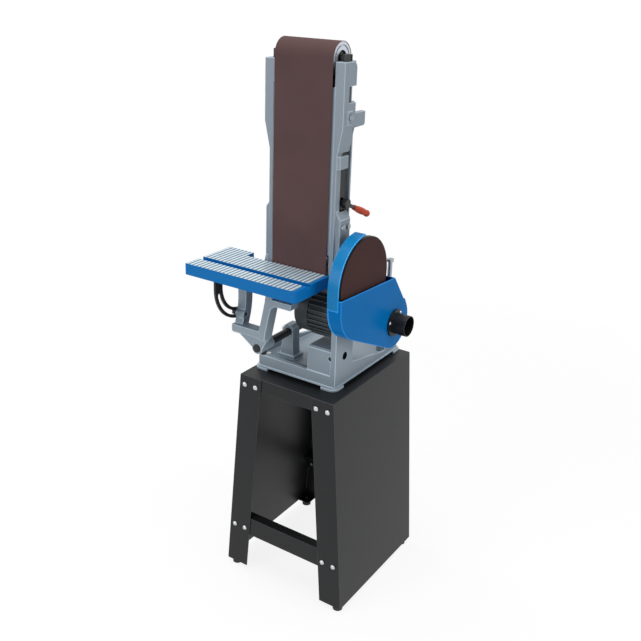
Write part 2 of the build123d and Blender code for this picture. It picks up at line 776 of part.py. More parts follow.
# Motor: finned body with mounting flange
def motor_body():
    x0 = MOTOR_LEFT + MOTOR_COVER_L
    x1 = MOTOR_RIGHT
    y, z = MOTOR_Y, MOTOR_Z
    body = xcyl(x0, x1, MOTOR_R, y, z)
    fin = rect(-FIN_T / 2, FIN_T / 2, MOTOR_R - 2, MOTOR_R + FIN_H)
    fins = Sketch() + [Pos(y, z) * Rot(0, 0, 360 * i / FIN_N) * fin for i in range(FIN_N)]
    body += on_side(fins, x0 + 1, x1 - MOTOR_FLANGE_T)
    body += xcyl(x1 - MOTOR_FLANGE_T, x1, MOTOR_R + 4, y, z)
    body -= xcyl(x0 + 5, x1 - MOTOR_FLANGE_T, MOTOR_BORE_R, y, z)
    body -= xcyl(x0 - 1, x1 + 1, MOTOR_SHAFT_R + 1, y, z)
    body -= xcyl(x1 - MOTOR_FLANGE_T - 1, x1 - 4, MOTOR_BEARING_R + FIT, y, z)
    return body


def motor_stator():
    x0 = MOTOR_LEFT + MOTOR_COVER_L + 8
    x1 = MOTOR_RIGHT - MOTOR_FLANGE_T - 4
    return ring(x0, x1, ROTOR_R + 0.6, MOTOR_BORE_R - FIT, MOTOR_Y, MOTOR_Z)


def motor_rotor():
    x0 = MOTOR_LEFT + MOTOR_COVER_L + 14
    x1 = MOTOR_RIGHT - MOTOR_FLANGE_T - 10
    rotor = xcyl(x0, x1, ROTOR_R, MOTOR_Y, MOTOR_Z)
    return rotor + xcyl(MOTOR_LEFT + 5, PULLEY_X1, MOTOR_SHAFT_R, MOTOR_Y, MOTOR_Z)


def motor_bearing():
    x1 = MOTOR_RIGHT - 4
    return ring(x1 - MOTOR_FLANGE_T + 4, x1, MOTOR_SHAFT_R + RUN, MOTOR_BEARING_R,
                MOTOR_Y, MOTOR_Z)


# Cover over the fan, with air slots in its end
def motor_cover():
    x0, x1 = MOTOR_LEFT, MOTOR_LEFT + MOTOR_COVER_L
    y, z = MOTOR_Y, MOTOR_Z
    cover = xcyl(x0, x1, MOTOR_R + 3, y, z)
    cover = chamfer(cover.edges().group_by(Axis.X)[0], 5)
    cover -= xcyl(x0 + 3, x1 + 1, MOTOR_R, y, z)
    slot = rect(-2, 2, 16, MOTOR_R - 14)
    slots = Sketch() + [Pos(y, z) * Rot(0, 0, 30 * i) * slot for i in range(12)]
    return cover - on_side(slots, x0 - 1, x0 + 4)


def motor_fan():
    x0 = MOTOR_LEFT + 6
    y, z = MOTOR_Y, MOTOR_Z
    fan = ring(x0, x0 + 9, MOTOR_SHAFT_R + FIT, MOTOR_SHAFT_R + 5, y, z)
    blade = rect(-1.2, 1.2, MOTOR_SHAFT_R + 3, MOTOR_R - 6)
    blades = Sketch() + [Pos(y, z) * Rot(0, 0, 60 * i) * blade for i in range(6)]
    return fan + on_side(blades, x0, x0 + 9)


# Disc housing: back plate with the half drum round the front of the disc
def guard_hull(shrink):
    return hull(spot(HOUSING_R - shrink, SPINDLE_Y, SPINDLE_Z),
                spot(GUARD_CORNER_R - shrink, GUARD_CORNER_Y, SPINDLE_Z - GUARD_CORNER_DROP),
                spot(CHUTE_R - shrink, CHUTE_Y, SPINDLE_Z - CHUTE_DROP))


def guard_outline(shrink):
    body = guard_hull(shrink)
    far = CHUTE_Y + 2 * CHUTE_R
    near, drop = CHUTE_Y - 0.3 * CHUTE_R - shrink, GUARD_TOP - 1.15 * CHUTE_R
    slope = outline((near, GUARD_TOP + GUARD_T), (near + 0.92 * CHUTE_R, drop), (far, drop),
                    (far, GUARD_TOP + HOUSING_R), (near, GUARD_TOP + HOUSING_R))
    return body - slope


# Part of the plane below the guard's upper edge, which falls a little to the back
def below_edge():
    reach = 3 * HOUSING_R
    fall = reach * math.tan(math.radians(GUARD_SLOPE))
    return outline((SPINDLE_Y - reach, GUARD_TOP + fall), (SPINDLE_Y - reach, SPINDLE_Z - reach),
                   (SPINDLE_Y + reach, SPINDLE_Z - reach), (SPINDLE_Y + reach, GUARD_TOP - fall))


def disc_housing():
    x0 = HOUSING_X
    x1 = x0 + HOUSING_BACK_T
    y, z = SPINDLE_Y, SPINDLE_Z
    low = guard_outline(0) & below_edge()
    front = guard_hull(0) & wedge(y, z, 2 * HOUSING_R, RIM_START, RIM_END)
    back = on_side(low, x0, x1) + on_side(front, x0, x1)
    back += xcyl(x0, x1, BEARING_BLOCK_R, y, z)
    rim = front - guard_hull(HOUSING_WALL)
    back += on_side(rim, x0, HOUSING_FRONT_X)
    back -= xcyl(x0 - 1, x1 + 1, SPINDLE_R + 6, y, z)
    return back - xcyl(x0 - 1, x1 + 1, MOTOR_SHAFT_R + 6, MOTOR_Y, MOTOR_Z)


# Guard: face over the lower half of the disc with a skirt round the chute
def lower_guard():
    y, z = SPINDLE_Y, SPINDLE_Z
    face = guard_outline(0) & below_edge()
    skirt = (guard_outline(0) - guard_outline(GUARD_T)) & below_edge()
    guard = on_side(face, GUARD_FACE_X - GUARD_T, GUARD_FACE_X)
    guard += on_side(skirt, HOUSING_X + HOUSING_BACK_T, GUARD_FACE_X - GUARD_T)
    rim = wedge(y, z, 2 * HOUSING_R, RIM_START, RIM_END + 0.1)
    guard -= on_side(rim, HOUSING_X, HOUSING_FRONT_X)
    return guard - xcyl(GUARD_FACE_X - 10, GUARD_FACE_X + 1, PORT_R - PORT_WALL, PORT_Y,
                        SPINDLE_Z - PORT_DROP)


def dust_port():
    x0, x1 = GUARD_FACE_X, GUARD_FACE_X + PORT_L
    y, z = PORT_Y, SPINDLE_Z - PORT_DROP
    port = xcyl(x0, x1, PORT_R, y, z)
    port += xcyl(x0, x0 + PORT_FLANGE_T, PORT_FLANGE_R, y, z)
    return port - xcyl(x0 - 1, x1 + 1, PORT_R - PORT_WALL, y, z)


# Arm: side wall, the same on both sides but for the height of its boss
def arm_side(side):
    y, z = SPINDLE_Y, SPINDLE_Z

    def across(a, b):
        return sorted((side * a, side * b))

    boss_out = BOSS_OUT_R if side > 0 else BOSS_OUT_L
    arm_top = ARM_TOP if side > 0 else IDLER_Z - LEFT_TOP_DROP
    straight = z + FOOT_BOSS_H - 20
    web = hull(spot(FOOT_BOSS_R - 1, y, z), rect(WEB_FRONT, WEB_REAR, straight, straight + 1))
    web += rect(WEB_FRONT, WEB_REAR, straight, arm_top)
    x0, x1 = across(WEB_IN, WEB_OUT)
    wall = on_side(web, x0, x1)
    # upper boss, tapering down into the wall
    low = arm_top - BOSS_SHARE * DRUM_SPAN
    face = outline((side * (WEB_OUT - 4), arm_top), (side * boss_out, arm_top), (side * boss_out, low),
                   (side * WEB_OUT, low - BOSS_TAPER), (side * (WEB_OUT - 4), low - BOSS_TAPER))
    boss = on_front(face, WEB_FRONT, BOSS_REAR)
    crown = boss.edges().filter_by(Axis.X).group_by(Axis.Z)[-1].sort_by(Axis.Y)[-1]
    wall += fillet(crown, 14)
    # foot boss round the spindle
    x0, x1 = across(WEB_OUT - 4, FOOT_BOSS_OUT)
    wall += xcyl(x0, x1, FOOT_BOSS_R, y, z)
    top = z + FOOT_BOSS_H
    foot = outline((side * (WEB_OUT - 4), z), (side * FOOT_BOSS_OUT, z), (side * FOOT_BOSS_OUT, top),
                   (side * WEB_OUT, top + FOOT_TAPER), (side * (WEB_OUT - 4), top + FOOT_TAPER))
    wall += on_front(foot, y - FOOT_BOSS_R + 6, FOOT_BOSS_REAR)
    # window in the wall, its upper end cut on the slant
    slant = (WINDOW_TOP - WINDOW_Z) / 4
    gap = outline((WINDOW_FRONT, WINDOW_Z), (WINDOW_REAR, WINDOW_Z), (WINDOW_REAR, WINDOW_TOP),
                  (WINDOW_REAR - 5, WINDOW_TOP), (WINDOW_FRONT, WINDOW_TOP - slant))
    x0, x1 = across(WEB_IN - 1, WEB_OUT + 1)
    wall -= on_side(gap, x0, x1)
    # guide for the slide block and its bar, open at the top and towards the drum
    x0, x1 = across(WEB_IN - 1, BLOCK_X1 + CLEAR)
    b1 = IDLER_Z + BLOCK_TOP
    low = BLOCK_LOW - CAM_LIFT - CLEAR
    wall -= block(x0, x1, BLOCK_FRONT - CLEAR, BLOCK_REAR + CLEAR, low, b1)
    x0, x1 = across(WEB_IN - 1, BAR_X + BAR_T + CLEAR)
    return wall - block(x0, x1, BAR_FRONT - CLEAR, BAR_REAR + CLEAR, WINDOW_TOP - slant,
                        BLOCK_LOW + 2 + CLEAR)


def arm_casting():
    y, z = SPINDLE_Y, SPINDLE_Z
    arm = arm_side(1) + arm_side(-1)
    # bridge behind the platen, with ribs and the cam shaft's bearing lugs
    y0 = BELT_T + CLEAR + PLATEN_T
    z0 = z + PLATEN_RISE + 2
    z1 = z0 + PLATEN_H - 12
    arm += block(-WEB_IN - 2, WEB_IN + 2, y0, y0 + BRIDGE_T, z0, z1)
    for share in RIB_SHARES:
        rise = z + share * DRUM_SPAN
        arm += block(-WEB_IN - 0.5, WEB_IN + 0.5, y0 + BRIDGE_T - 1, y0 + BRIDGE_T + RIB_REACH,
                     rise, rise + BRIDGE_T)
    for side in (-1, 1):
        x0, x1 = sorted((side * (CAM_X0 - 14), side * (CAM_X0 - 4)))
        lug = hull(rect(y0 + BRIDGE_T - 1, y0 + BRIDGE_T, CAM_Z - 24, CAM_Z + 24),
                   spot(CAM_SHAFT_R + 6, CAM_Y, CAM_Z))
        arm += on_side(lug, x0, x1)
        # spring seat, a bracket on the bridge
        x0, x1 = sorted((side * (SPRING_X - SPRING_R - 2), side * (SPRING_X + SPRING_R + 1)))
        arm += block(x0, x1, y0 + BRIDGE_T - 1, SPRING_Y + SPRING_R + 2, SEAT_Z - SEAT_T, SEAT_Z)
    arm -= xcyl(-CAM_X0, CAM_X0, CAM_SHAFT_R + RUN, CAM_Y, CAM_Z)
    # lug behind the right boss and the notch that shows the slide block
    l0 = z + LUG_SHARE * DRUM_SPAN
    lug = outline((BOSS_REAR - 6, l0), (LUG_REACH - 4, l0), (LUG_REACH, l0 + 4),
                  (LUG_REACH, l0 + LUG_H), (BOSS_REAR - 6, l0 + LUG_H))
    arm += on_side(lug, WEB_OUT, BOSS_OUT_R)
    n0 = ARM_TOP - 0.62 * BOSS_SHARE * DRUM_SPAN
    arm -= block(BLOCK_X1, BOSS_OUT_R + 1, BLOCK_FRONT + 4, BOSS_REAR + 1, n0, n0 + 34)
    arm -= block(WEB_IN - 1, BOSS_OUT_R + 1, BOSS_REAR - 4, WEB_REAR + 1, n0, n0 + 34)
    # pad round the tracking screw
    half = TRACK_PAD_W / 2
    arm += block(BOSS_OUT_R - 1, BOSS_OUT_R + TRACK_PAD_T, TRACK_Y - half, TRACK_Y + half,
                 TRACK_Z - 0.55 * TRACK_PAD_H, TRACK_Z + 0.45 * TRACK_PAD_H)
    # step on the right wall, over the front of the window
    c0 = COLLAR_Z
    arm += block(WEB_OUT - 2, STEP_OUT, WEB_FRONT + 2, WINDOW_FRONT, c0, c0 + STEP_H)
    arm += block(WEB_OUT, STEP_OUT, WINDOW_FRONT - 1, STEP_REAR, c0, c0 + STEP_H)
    # bores: clamp round the trunnion with its split, and the left bearing seat
    arm -= xcyl(WEB_IN - 1, FOOT_BOSS_OUT + 1, TRUNNION_R + RUN, y, z)
    arm -= block(WEB_IN - 1, FOOT_BOSS_OUT + 1, y + TRUNNION_R - 4, y + FOOT_BOSS_R + 4, z - 2, z + 2)
    arm -= xcyl(-FOOT_BOSS_OUT - 1, -WEB_IN + 1, SPINDLE_R + 3.5, y, z)
    arm -= xcyl(-FOOT_BOSS_OUT - 1, -FOOT_BOSS_OUT + BEARING_W + 1, BEARING_R + FIT, y, z)
    # holes of the lock bolts, the lock handle and the tracking screw
    for by, bz in lock_bolt_places():
        arm -= xcyl(FOOT_BOSS_OUT - 18, FOOT_BOSS_OUT + 1, BOLT_R + FIT, by, bz)
    hy, hz = handle_place()
    arm -= xcyl(FOOT_BOSS_OUT - 18, FOOT_BOSS_OUT + 1, BOLT_R + RUN, hy, hz)
    return arm - xcyl(BLOCK_X1, BOSS_OUT_R + TRACK_PAD_T + 1, TRACK_R + RUN, TRACK_Y, TRACK_Z)


def lock_bolt_places():
    return [(20, SPINDLE_Z + FOOT_BOSS_H - 16), (42, SPINDLE_Z + FOOT_BOSS_H - 18)]


def handle_place():
    return (SPINDLE_Y - 8, SPINDLE_Z + 2 * FOOT_BOSS_R)


def arm_lock_bolts():
    bolts = []
    x = FOOT_BOSS_OUT + SEAT_AIR
    for y, z in lock_bolt_places():
        bolts.append(xhex(x, x + BOLT_HEAD_H, BOLT_HEAD_R, y, z) + xcyl(x - 17, x + 1, BOLT_R, y, z))
    return bolts


# Lock handle, a bar across the end of its screw
def arm_lock_handle():
    y, z = handle_place()
    x = FOOT_BOSS_OUT
    handle = xcyl(x - 17, x + CLEAR, BOLT_R, y, z) + xcyl(x + CLEAR, x + 6, 7, y, z)
    bar = ycyl(y - 18, y + 18, 4.5, x + 8, z)
    return handle + bar + xcyl(x + 5, x + 9, 6, y, z)


# Platen behind the belt
def platen():
    y0 = BELT_T + CLEAR
    z0 = SPINDLE_Z + PLATEN_RISE
    return block(-PLATEN_W / 2, PLATEN_W / 2, y0, y0 + PLATEN_T, z0, z0 + PLATEN_H)


# Sanding belt, a closed loop over both drums
def sanding_belt():
    def loop(extra):
        return hull(spot(DRIVE_DRUM_R + extra, SPINDLE_Y, SPINDLE_Z),
                    spot(IDLER_R + extra, IDLER_Y, IDLER_Z))

    half = BELT_W / 2
    return on_side(loop(CLEAR + BELT_T), -half, half) - on_side(loop(CLEAR), -half - 1, half + 1)


# Idler drum on its axle between the slide blocks
def idler_drum():
    return drum(IDLER_W, IDLER_R, IDLER_WALL, IDLER_BEARING_R + 6, IDLER_BEARING_R + FIT,
                IDLER_Y, IDLER_Z)


def idler_bearings():
    half = IDLER_W / 2
    places = (-half + 4, half - 4 - BEARING_W)
    return [ring(x, x + BEARING_W, AXLE_R + RUN, IDLER_BEARING_R, IDLER_Y, IDLER_Z) for x in places]


def idler_axle():
    return xcyl(-BLOCK_X1 + 1, BLOCK_X1 - 1, AXLE_R, IDLER_Y, IDLER_Z)


# Slide block with its flat pull bar, spring collar and the foot under the cam
def slide_block(side):
    def across(a, b):
        return sorted((side * a, side * b))

    x0, x1 = across(BLOCK_X0, BLOCK_X1)
    slide = block(x0, x1, BLOCK_FRONT, BLOCK_REAR, BLOCK_LOW, BLOCK_LOW + BLOCK_H)
    slide -= xcyl(x0 - 1, x1 + 1, AXLE_R + FIT, IDLER_Y, IDLER_Z)
    cam_low = CAM_Z + CAM_OFF * math.sin(math.radians(45)) - CAM_R
    foot = cam_low - CLEAR
    x0, x1 = across(BAR_X, BAR_X + BAR_T)
    slide += block(x0, x1, BAR_FRONT, BAR_REAR, foot - 8, BLOCK_LOW + 2)
    # long hole in the bar for the cam shaft
    shaft = CAM_SHAFT_R + 2 * CLEAR
    hole = hull(spot(shaft, CAM_Y, CAM_Z), spot(shaft, CAM_Y, CAM_Z + CAM_LIFT))
    slide -= on_side(hole, x0 - 1, x1 + 1)
    x0, x1 = across(SPRING_X - SPRING_R - 1, BAR_X + 1)
    slide += block(x0, x1, BAR_FRONT, SPRING_Y + SPRING_R + 2, COLLAR_Z, COLLAR_Z + COLLAR_T)
    x0, x1 = across(CAM_X0, BAR_X + 1)
    return slide + block(x0, x1, BAR_FRONT, CAM_Y + 8, foot - 8, foot)


# Springs that push the blocks up
def tension_springs():
    z0 = SEAT_Z + SPRING_WIRE + 0.1
    z1 = COLLAR_Z - 1.4 * SPRING_WIRE - 0.1
    count = SPRING_TURNS * SPRING_STEPS
    coils = []
    for side in (-1, 1):
        points = []
        for i in range(count + 1):
            y, z = polar(360 * i / SPRING_STEPS, SPRING_R, SPRING_Y, side * SPRING_X)
            points.append((z, y, z0 + (z1 - z0) * i / count))
        path = Polyline(*points)
        start = Plane(origin=path @ 0, z_dir=path % 0)
        wire = start * Rectangle(1.8 * SPRING_WIRE, 1.8 * SPRING_WIRE)
        coils.append(sweep(wire, path=path, transition=Transition.RIGHT))
    return coils


# Cam shaft with one cam at each side
def cam_shaft():
    a = math.radians(135)
    cy, cz = CAM_Y + CAM_OFF * math.cos(a), CAM_Z + CAM_OFF * math.sin(a)
    shaft = xcyl(-CAM_X1, LEVER_X + 6, CAM_SHAFT_R, CAM_Y, CAM_Z)
    for x0, x1 in ((CAM_X0, CAM_X1), (-CAM_X1, -CAM_X0)):
        shaft += xcyl(x0, x1, CAM_R, cy, cz)
    return shaft


# Tension lever with its hub, stem and tapered grip
def lever_frame(along):
    y, z = polar(LEVER_ANGLE, along, CAM_Y, CAM_Z)
    return Plane(origin=(LEVER_X, y, z), x_dir=(1, 0, 0),
                 z_dir=(0, math.cos(math.radians(LEVER_ANGLE)), math.sin(math.radians(LEVER_ANGLE))))


def tension_lever():
    hub = xcyl(LEVER_X - 5, LEVER_X + 6, CAM_SHAFT_R + 5, CAM_Y, CAM_Z)
    stem = lever_frame(0) * Cylinder(LEVER_R, LEVER_STEM + GRIP_BORE, align=CENTRE)
    lever = hub + stem
    return lever - xcyl(LEVER_X - 6, LEVER_X + 7, CAM_SHAFT_R + FIT, CAM_Y, CAM_Z)


def lever_grip():
    rings = ((0, 0.72), (0.45, 1.0), (0.85, 0.9), (1.0, 0.5))
    grip = loft([Plane.XY.offset(GRIP_L * a) * RegularPolygon(GRIP_R * b, GRIP_SIDES)
                 for a, b in rings], ruled=True)
    grip -= Cylinder(LEVER_R + FIT, GRIP_BORE + FIT, align=CENTRE)
    return lever_frame(LEVER_STEM) * grip


# Tracking screw with a slotted head
def tracking_screw():
    z = TRACK_Z
    end = BOSS_OUT_R + TRACK_PAD_T + 3
    screw = xcyl(BLOCK_X1 + CLEAR, end, TRACK_R, TRACK_Y, z)
    return screw - block(end - 2, end + 1, TRACK_Y - 1, TRACK_Y + 1, z - 8, z + 8)


# Table: skirted casting with a deeper left end, cross grooves and a mitre slot
def table_top():
    x0, x1 = TABLE_LEFT, TABLE_LEFT + TABLE_L
    y1 = -TABLE_GAP
    y0 = y1 - TABLE_D
    z1 = TABLE_Z
    z0 = z1 - TABLE_T

    def plan(inset):
        main = rect(x0 + inset, x1 - inset, y0 + inset, y1 - inset)
        return main + rect(x0 + inset, x0 + TAB_L - inset, y0 + inset, y1 + TAB_D - inset)

    shape = plan(0)
    shape = fillet(shape.vertices().sort_by(Axis.X)[-2:], 6)
    top = on_top(shape, z0, z1)
    top -= on_top(plan(TABLE_WALL), z0 - 1, z1 - TABLE_SKIN)
    # ribs under the skin and the lugs on the tilt pins
    for x in (x0 + TABLE_L * 0.28, x0 + TABLE_L * 0.85):
        top += block(x - 3, x + 3, y0 + 2, y1 - 2, z0 + 6, z1 - 2)
    for x in lug_places():
        lug = hull(spot(LUG_R, TILT_Y, TILT_Z),
                   rect(TILT_Y - 1.4 * LUG_R, TILT_Y + 1.4 * LUG_R, z1 - TABLE_SKIN, z1 - TABLE_SKIN + 1))
        top += on_side(lug, x, x + LUG_T)
    for x in lug_places():
        top -= xcyl(x - 1, x + LUG_T + 1, PIN_R + RUN, TILT_Y, TILT_Z)
    # pad that carries the quadrant
    q1 = YOKE_ARM_L - CLEAR
    quad_x = (TILT_Y - QUAD_OUT, TILT_Y - QUAD_IN)
    top += block(q1 - QUAD_T, q1, max(quad_x[0], y0 + 2), quad_x[1], TILT_Z + LUG_R + 6, z1 - 2)
    # machined face: mitre slot and cross grooves
    m = y0 + MITRE_FROM_FRONT
    top -= block(x0 - 1, x1 + 1, m - MITRE_W / 2, m + MITRE_W / 2, z1 - MITRE_D, z1 + 1)
    count = int(TABLE_L / RIB_PITCH)
    first = x0 + (TABLE_L - (count - 1) * RIB_PITCH) / 2
    cuts = []
    for i in range(count):
        x = first + i * RIB_PITCH
        far = y1 + TAB_D if x < x0 + TAB_L else y1
        cuts.append(block(x - GROOVE_CUT_W / 2, x + GROOVE_CUT_W / 2, y0 - 1, far + 1,
                          z1 - GROOVE_CUT_D, z1 + 1))
    return top - cuts


def lug_places():
    left = YOKE_ARM_L + YOKE_ARM_T + CLEAR
    return (left, YOKE_ARM_R - LUG_T)


# Slotted quadrant under the table's left part
def quadrant():
    x1 = YOKE_ARM_L - CLEAR
    plate = sector(TILT_Y, TILT_Z, QUAD_IN, QUAD_OUT, QUAD_START, QUAD_END)
    plate += rect(TILT_Y - QUAD_OUT, TILT_Y - QUAD_IN, TILT_Z - 0.5, TILT_Z + LUG_R + 6)
    half = QUAD_SLOT_W / 2
    slot = sector(TILT_Y, TILT_Z, QUAD_SLOT_R - half, QUAD_SLOT_R + half,
                  QUAD_SLOT_START, QUAD_SLOT_END)
    for angle in (QUAD_SLOT_START, QUAD_SLOT_END):
        slot += spot(half, *polar(angle, QUAD_SLOT_R, TILT_Y, TILT_Z))
    return on_side(plate - slot, x1 - QUAD_T, x1)


# Yoke: web with two arms up to the tilt pins and a hub on the rod
def yoke_swan():
    w0 = BASE_Z + YOKE_WEB_RISE
    half = YOKE_SWAN_W / 2
    bow = TILT_Y + YOKE_SWAN_BOW
    mid = (w0 + TILT_Z) / 2 + 8
    foot = (YOKE_FRONT + YOKE_REAR) / 2
    outer = Spline((foot + half, w0), (bow + half, mid), (TILT_Y + half, TILT_Z))
    inner = Spline((TILT_Y - half, TILT_Z), (bow - half, mid), (foot - half, w0))
    ends = [Line(outer @ 1, inner @ 0), Line(inner @ 1, outer @ 0)]
    return make_face([outer, inner] + ends) + spot(YOKE_BOSS_R, TILT_Y, TILT_Z)


def yoke():
    w0 = BASE_Z + YOKE_WEB_RISE
    w1 = w0 + YOKE_WEB_H
    y0, y1 = YOKE_FRONT, YOKE_REAR
    top = TILT_Z + YOKE_BOSS_R
    left_arm = on_side(yoke_swan(), YOKE_ARM_L, YOKE_ARM_L + YOKE_ARM_T)
    # right arm leans in and turns into a flange below the table's edge
    side = hull(rect(y0, y1, w0, w1), spot(YOKE_BOSS_R, TILT_Y, TILT_Z))
    x0, x1 = YOKE_ARM_R + CLEAR, YOKE_ARM_R + YOKE_ARM_W
    f1 = TILT_Z - YOKE_FLANGE_DROP
    f0 = f1 - YOKE_FLANGE_T
    lean = outline((x0 - YOKE_LEAN, w0), (x1 - YOKE_LEAN, w0), (x1, f0 - 8), (x1 + 8, f0),
                   (YOKE_FLANGE_R, f0), (YOKE_FLANGE_R, f1), (x1, f1), (x1, top), (x0, top),
                   (x0, TILT_Z - 2 * YOKE_BOSS_R))
    right_arm = on_side(side, x0 - YOKE_LEAN, YOKE_FLANGE_R)
    right_arm &= on_front(lean, y0 - 1, TILT_Y + 2 * YOKE_BOSS_R)
    right = x1 - YOKE_LEAN
    web = outline((YOKE_ARM_L, w0 + 2), (ROD_X - HUB_R, ROD_Z), (ROD_X + HUB_R, ROD_Z),
                  (right, w0 + 4), (right, w1), (YOKE_ARM_L, w1))
    frame = left_arm + right_arm + on_front(web, y0 + 14, y1)
    frame += on_front(rect(YOKE_ARM_L, right, w0 + 3, w1), y0, y1)
    hub_y = ROD_FRONT + 2
    frame += ycyl(hub_y, hub_y + HUB_L, HUB_R, ROD_X, ROD_Z)
    # boss for the tilt lock, then the bores
    ly, lz = polar(LOCK_ANGLE, QUAD_SLOT_R, TILT_Y, TILT_Z)
    frame += xcyl(YOKE_ARM_L, YOKE_ARM_L + YOKE_ARM_T, LOCK_R + 8, ly, lz)
    frame -= ycyl(hub_y - 16, hub_y + HUB_L + 1, ROD_R + FIT, ROD_X, ROD_Z)
    frame -= xcyl(YOKE_ARM_L - 1, x1 + 1, PIN_R + FIT, TILT_Y, TILT_Z)
    frame -= xcyl(YOKE_ARM_L - 1, YOKE_ARM_L + YOKE_ARM_T + 1, LOCK_R + RUN, ly, lz)
    return frame - zcyl(ROD_Z - HUB_R - 1, ROD_Z - 1, CLAMP_R + FIT, ROD_X, hub_y + HUB_L / 2)


def tilt_pins():
    a, b = lug_places()
    end = YOKE_ARM_R + YOKE_ARM_W - 1
    pins = [xcyl(YOKE_ARM_L + 1, a + LUG_T, PIN_R, TILT_Y, TILT_Z)]
    pins.append(xcyl(b, end, PIN_R, TILT_Y, TILT_Z))
    return pins


# Tilt lock: bolt through the slot with a round head
def tilt_lock():
    y, z = polar(LOCK_ANGLE, QUAD_SLOT_R, TILT_Y, TILT_Z)
    x = YOKE_ARM_L - CLEAR - QUAD_T - CLEAR
    lock = xcyl(x, YOKE_ARM_L + YOKE_ARM_T - 2, LOCK_R, y, z)
    return lock + xhex(x - 8, x, CLAMP_HEAD_R + 1, y, z)


def table_rod():
    return ycyl(ROD_FRONT, ROD_FRONT + ROD_L, ROD_R, ROD_X, ROD_Z)


def yoke_clamp_screw():
    y = ROD_FRONT + 2 + HUB_L / 2
    z = ROD_Z - HUB_R
    screw = zcyl(z - 2, ROD_Z - ROD_R - CLEAR, CLAMP_R, ROD_X, y)
    return screw + on_top(Pos(ROD_X, y) * hexagon(CLAMP_HEAD_R), z - CLAMP_HEAD_H - CLEAR, z - CLEAR)


PIECES = {
    "stand_side_left": stand_side(-1),
    "stand_side_right": stand_side(1),
    "stand_tray": stand_tray(),
    "stand_rail_front": stand_rail(True),
    "stand_rail_rear": stand_rail(False),
    "stand_bolts": stand_bolts(),
    "stand_feet": stand_feet(),
    "base_casting": base_casting(),
    "base_bolt_front": base_bolt(base_bolt_places()[0]),
    "base_bolt_rear": base_bolt(base_bolt_places()[1]),
    "rod_clamp_screw": rod_clamp_screw(),
    "socket_set_screw": socket_set_screw(),
    "stop_stud": stop_stud(),
    "stop_nut": stop_nut(),
    "spindle": spindle(),
    "spindle_bearings": spindle_bearings(),
    "arm_bearing": arm_bearing(),
    "drive_drum": drive_drum(),
    "disc_plate": disc_plate(),
    "abrasive_disc": abrasive_disc(),
    "spindle_pulley": spindle_pulley(),
    "motor_pulley": motor_pulley(),
    "drive_belt": drive_belt(),
    "motor_body": motor_body(),
    "motor_stator": motor_stator(),
    "motor_rotor": motor_rotor(),
    "motor_bearing": motor_bearing(),
    "motor_cover": motor_cover(),
    "motor_fan": motor_fan(),
    "disc_housing": disc_housing(),
    "lower_guard": lower_guard(),
    "dust_port": dust_port(),
    "arm_casting": arm_casting(),
    "arm_lock_bolts": arm_lock_bolts(),
    "arm_lock_handle": arm_lock_handle(),
    "platen": platen(),
    "sanding_belt": sanding_belt(),
    "idler_drum": idler_drum(),
    "idler_bearings": idler_bearings(),
    "idler_axle": idler_axle(),
    "slide_block_left": slide_block(-1),
    "slide_block_right": slide_block(1),
    "tension_springs": tension_springs(),
    "cam_shaft": cam_shaft(),
    "tension_lever": tension_lever(),
    "lever_grip": lever_grip(),
    "tracking_screw": tracking_screw(),
    "table_top": table_top(),
    "quadrant": quadrant(),
    "yoke": yoke(),
    "tilt_pins": tilt_pins(),
    "tilt_lock": tilt_lock(),
    "table_rod": table_rod(),
    "yoke_clamp_screw": yoke_clamp_screw(),
}

# The origin lies on the floor under the middle of the whole machine
shapes = {name: Compound([p.solid() for p in piece]) if isinstance(piece, list) else piece
          for name, piece in PIECES.items()}
limits = [shape.bounding_box() for shape in shapes.values()]
mid_x = (min(b.min.X for b in limits) + max(b.max.X for b in limits)) / 2
mid_y = (min(b.min.Y for b in limits) + max(b.max.Y for b in limits)) / 2
print("middle", mid_x, mid_y)

os.makedirs("parts", exist_ok=True)
for name, shape in shapes.items():
    export_step(Pos(-mid_x, -mid_y, 0) * shape, os.path.join("parts", name + ".step"))
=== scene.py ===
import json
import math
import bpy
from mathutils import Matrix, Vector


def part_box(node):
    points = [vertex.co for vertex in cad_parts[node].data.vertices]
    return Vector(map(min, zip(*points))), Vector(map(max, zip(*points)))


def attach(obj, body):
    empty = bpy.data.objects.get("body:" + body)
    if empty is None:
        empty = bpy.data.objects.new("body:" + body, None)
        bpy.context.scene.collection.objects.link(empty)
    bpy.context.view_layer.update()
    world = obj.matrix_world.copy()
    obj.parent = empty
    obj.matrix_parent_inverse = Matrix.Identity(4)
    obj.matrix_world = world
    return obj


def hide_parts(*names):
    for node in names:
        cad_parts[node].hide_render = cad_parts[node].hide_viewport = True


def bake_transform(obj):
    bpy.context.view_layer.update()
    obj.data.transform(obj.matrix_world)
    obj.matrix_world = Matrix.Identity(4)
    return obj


bl_info = {
    "name": "Belt and disc sander",
    "version": (1, 0, 0),
    "blender": (4, 5, 0),
    "location": "View3D > Sidebar > Sander",
    "description": "Dresses the belt and disc sander's solids and sets its studio",
    "category": "Object",
}

import bmesh
import bpy
from mathutils import Matrix, Vector

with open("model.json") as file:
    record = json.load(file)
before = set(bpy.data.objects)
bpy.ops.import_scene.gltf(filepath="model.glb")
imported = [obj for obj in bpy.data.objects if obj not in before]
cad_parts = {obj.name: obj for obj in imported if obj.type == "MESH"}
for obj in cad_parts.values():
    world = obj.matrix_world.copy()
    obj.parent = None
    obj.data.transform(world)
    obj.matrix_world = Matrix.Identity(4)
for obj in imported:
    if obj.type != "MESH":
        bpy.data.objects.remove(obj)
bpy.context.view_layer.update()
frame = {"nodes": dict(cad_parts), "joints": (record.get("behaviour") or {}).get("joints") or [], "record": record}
NODES = frame["nodes"]
MM = 0.001

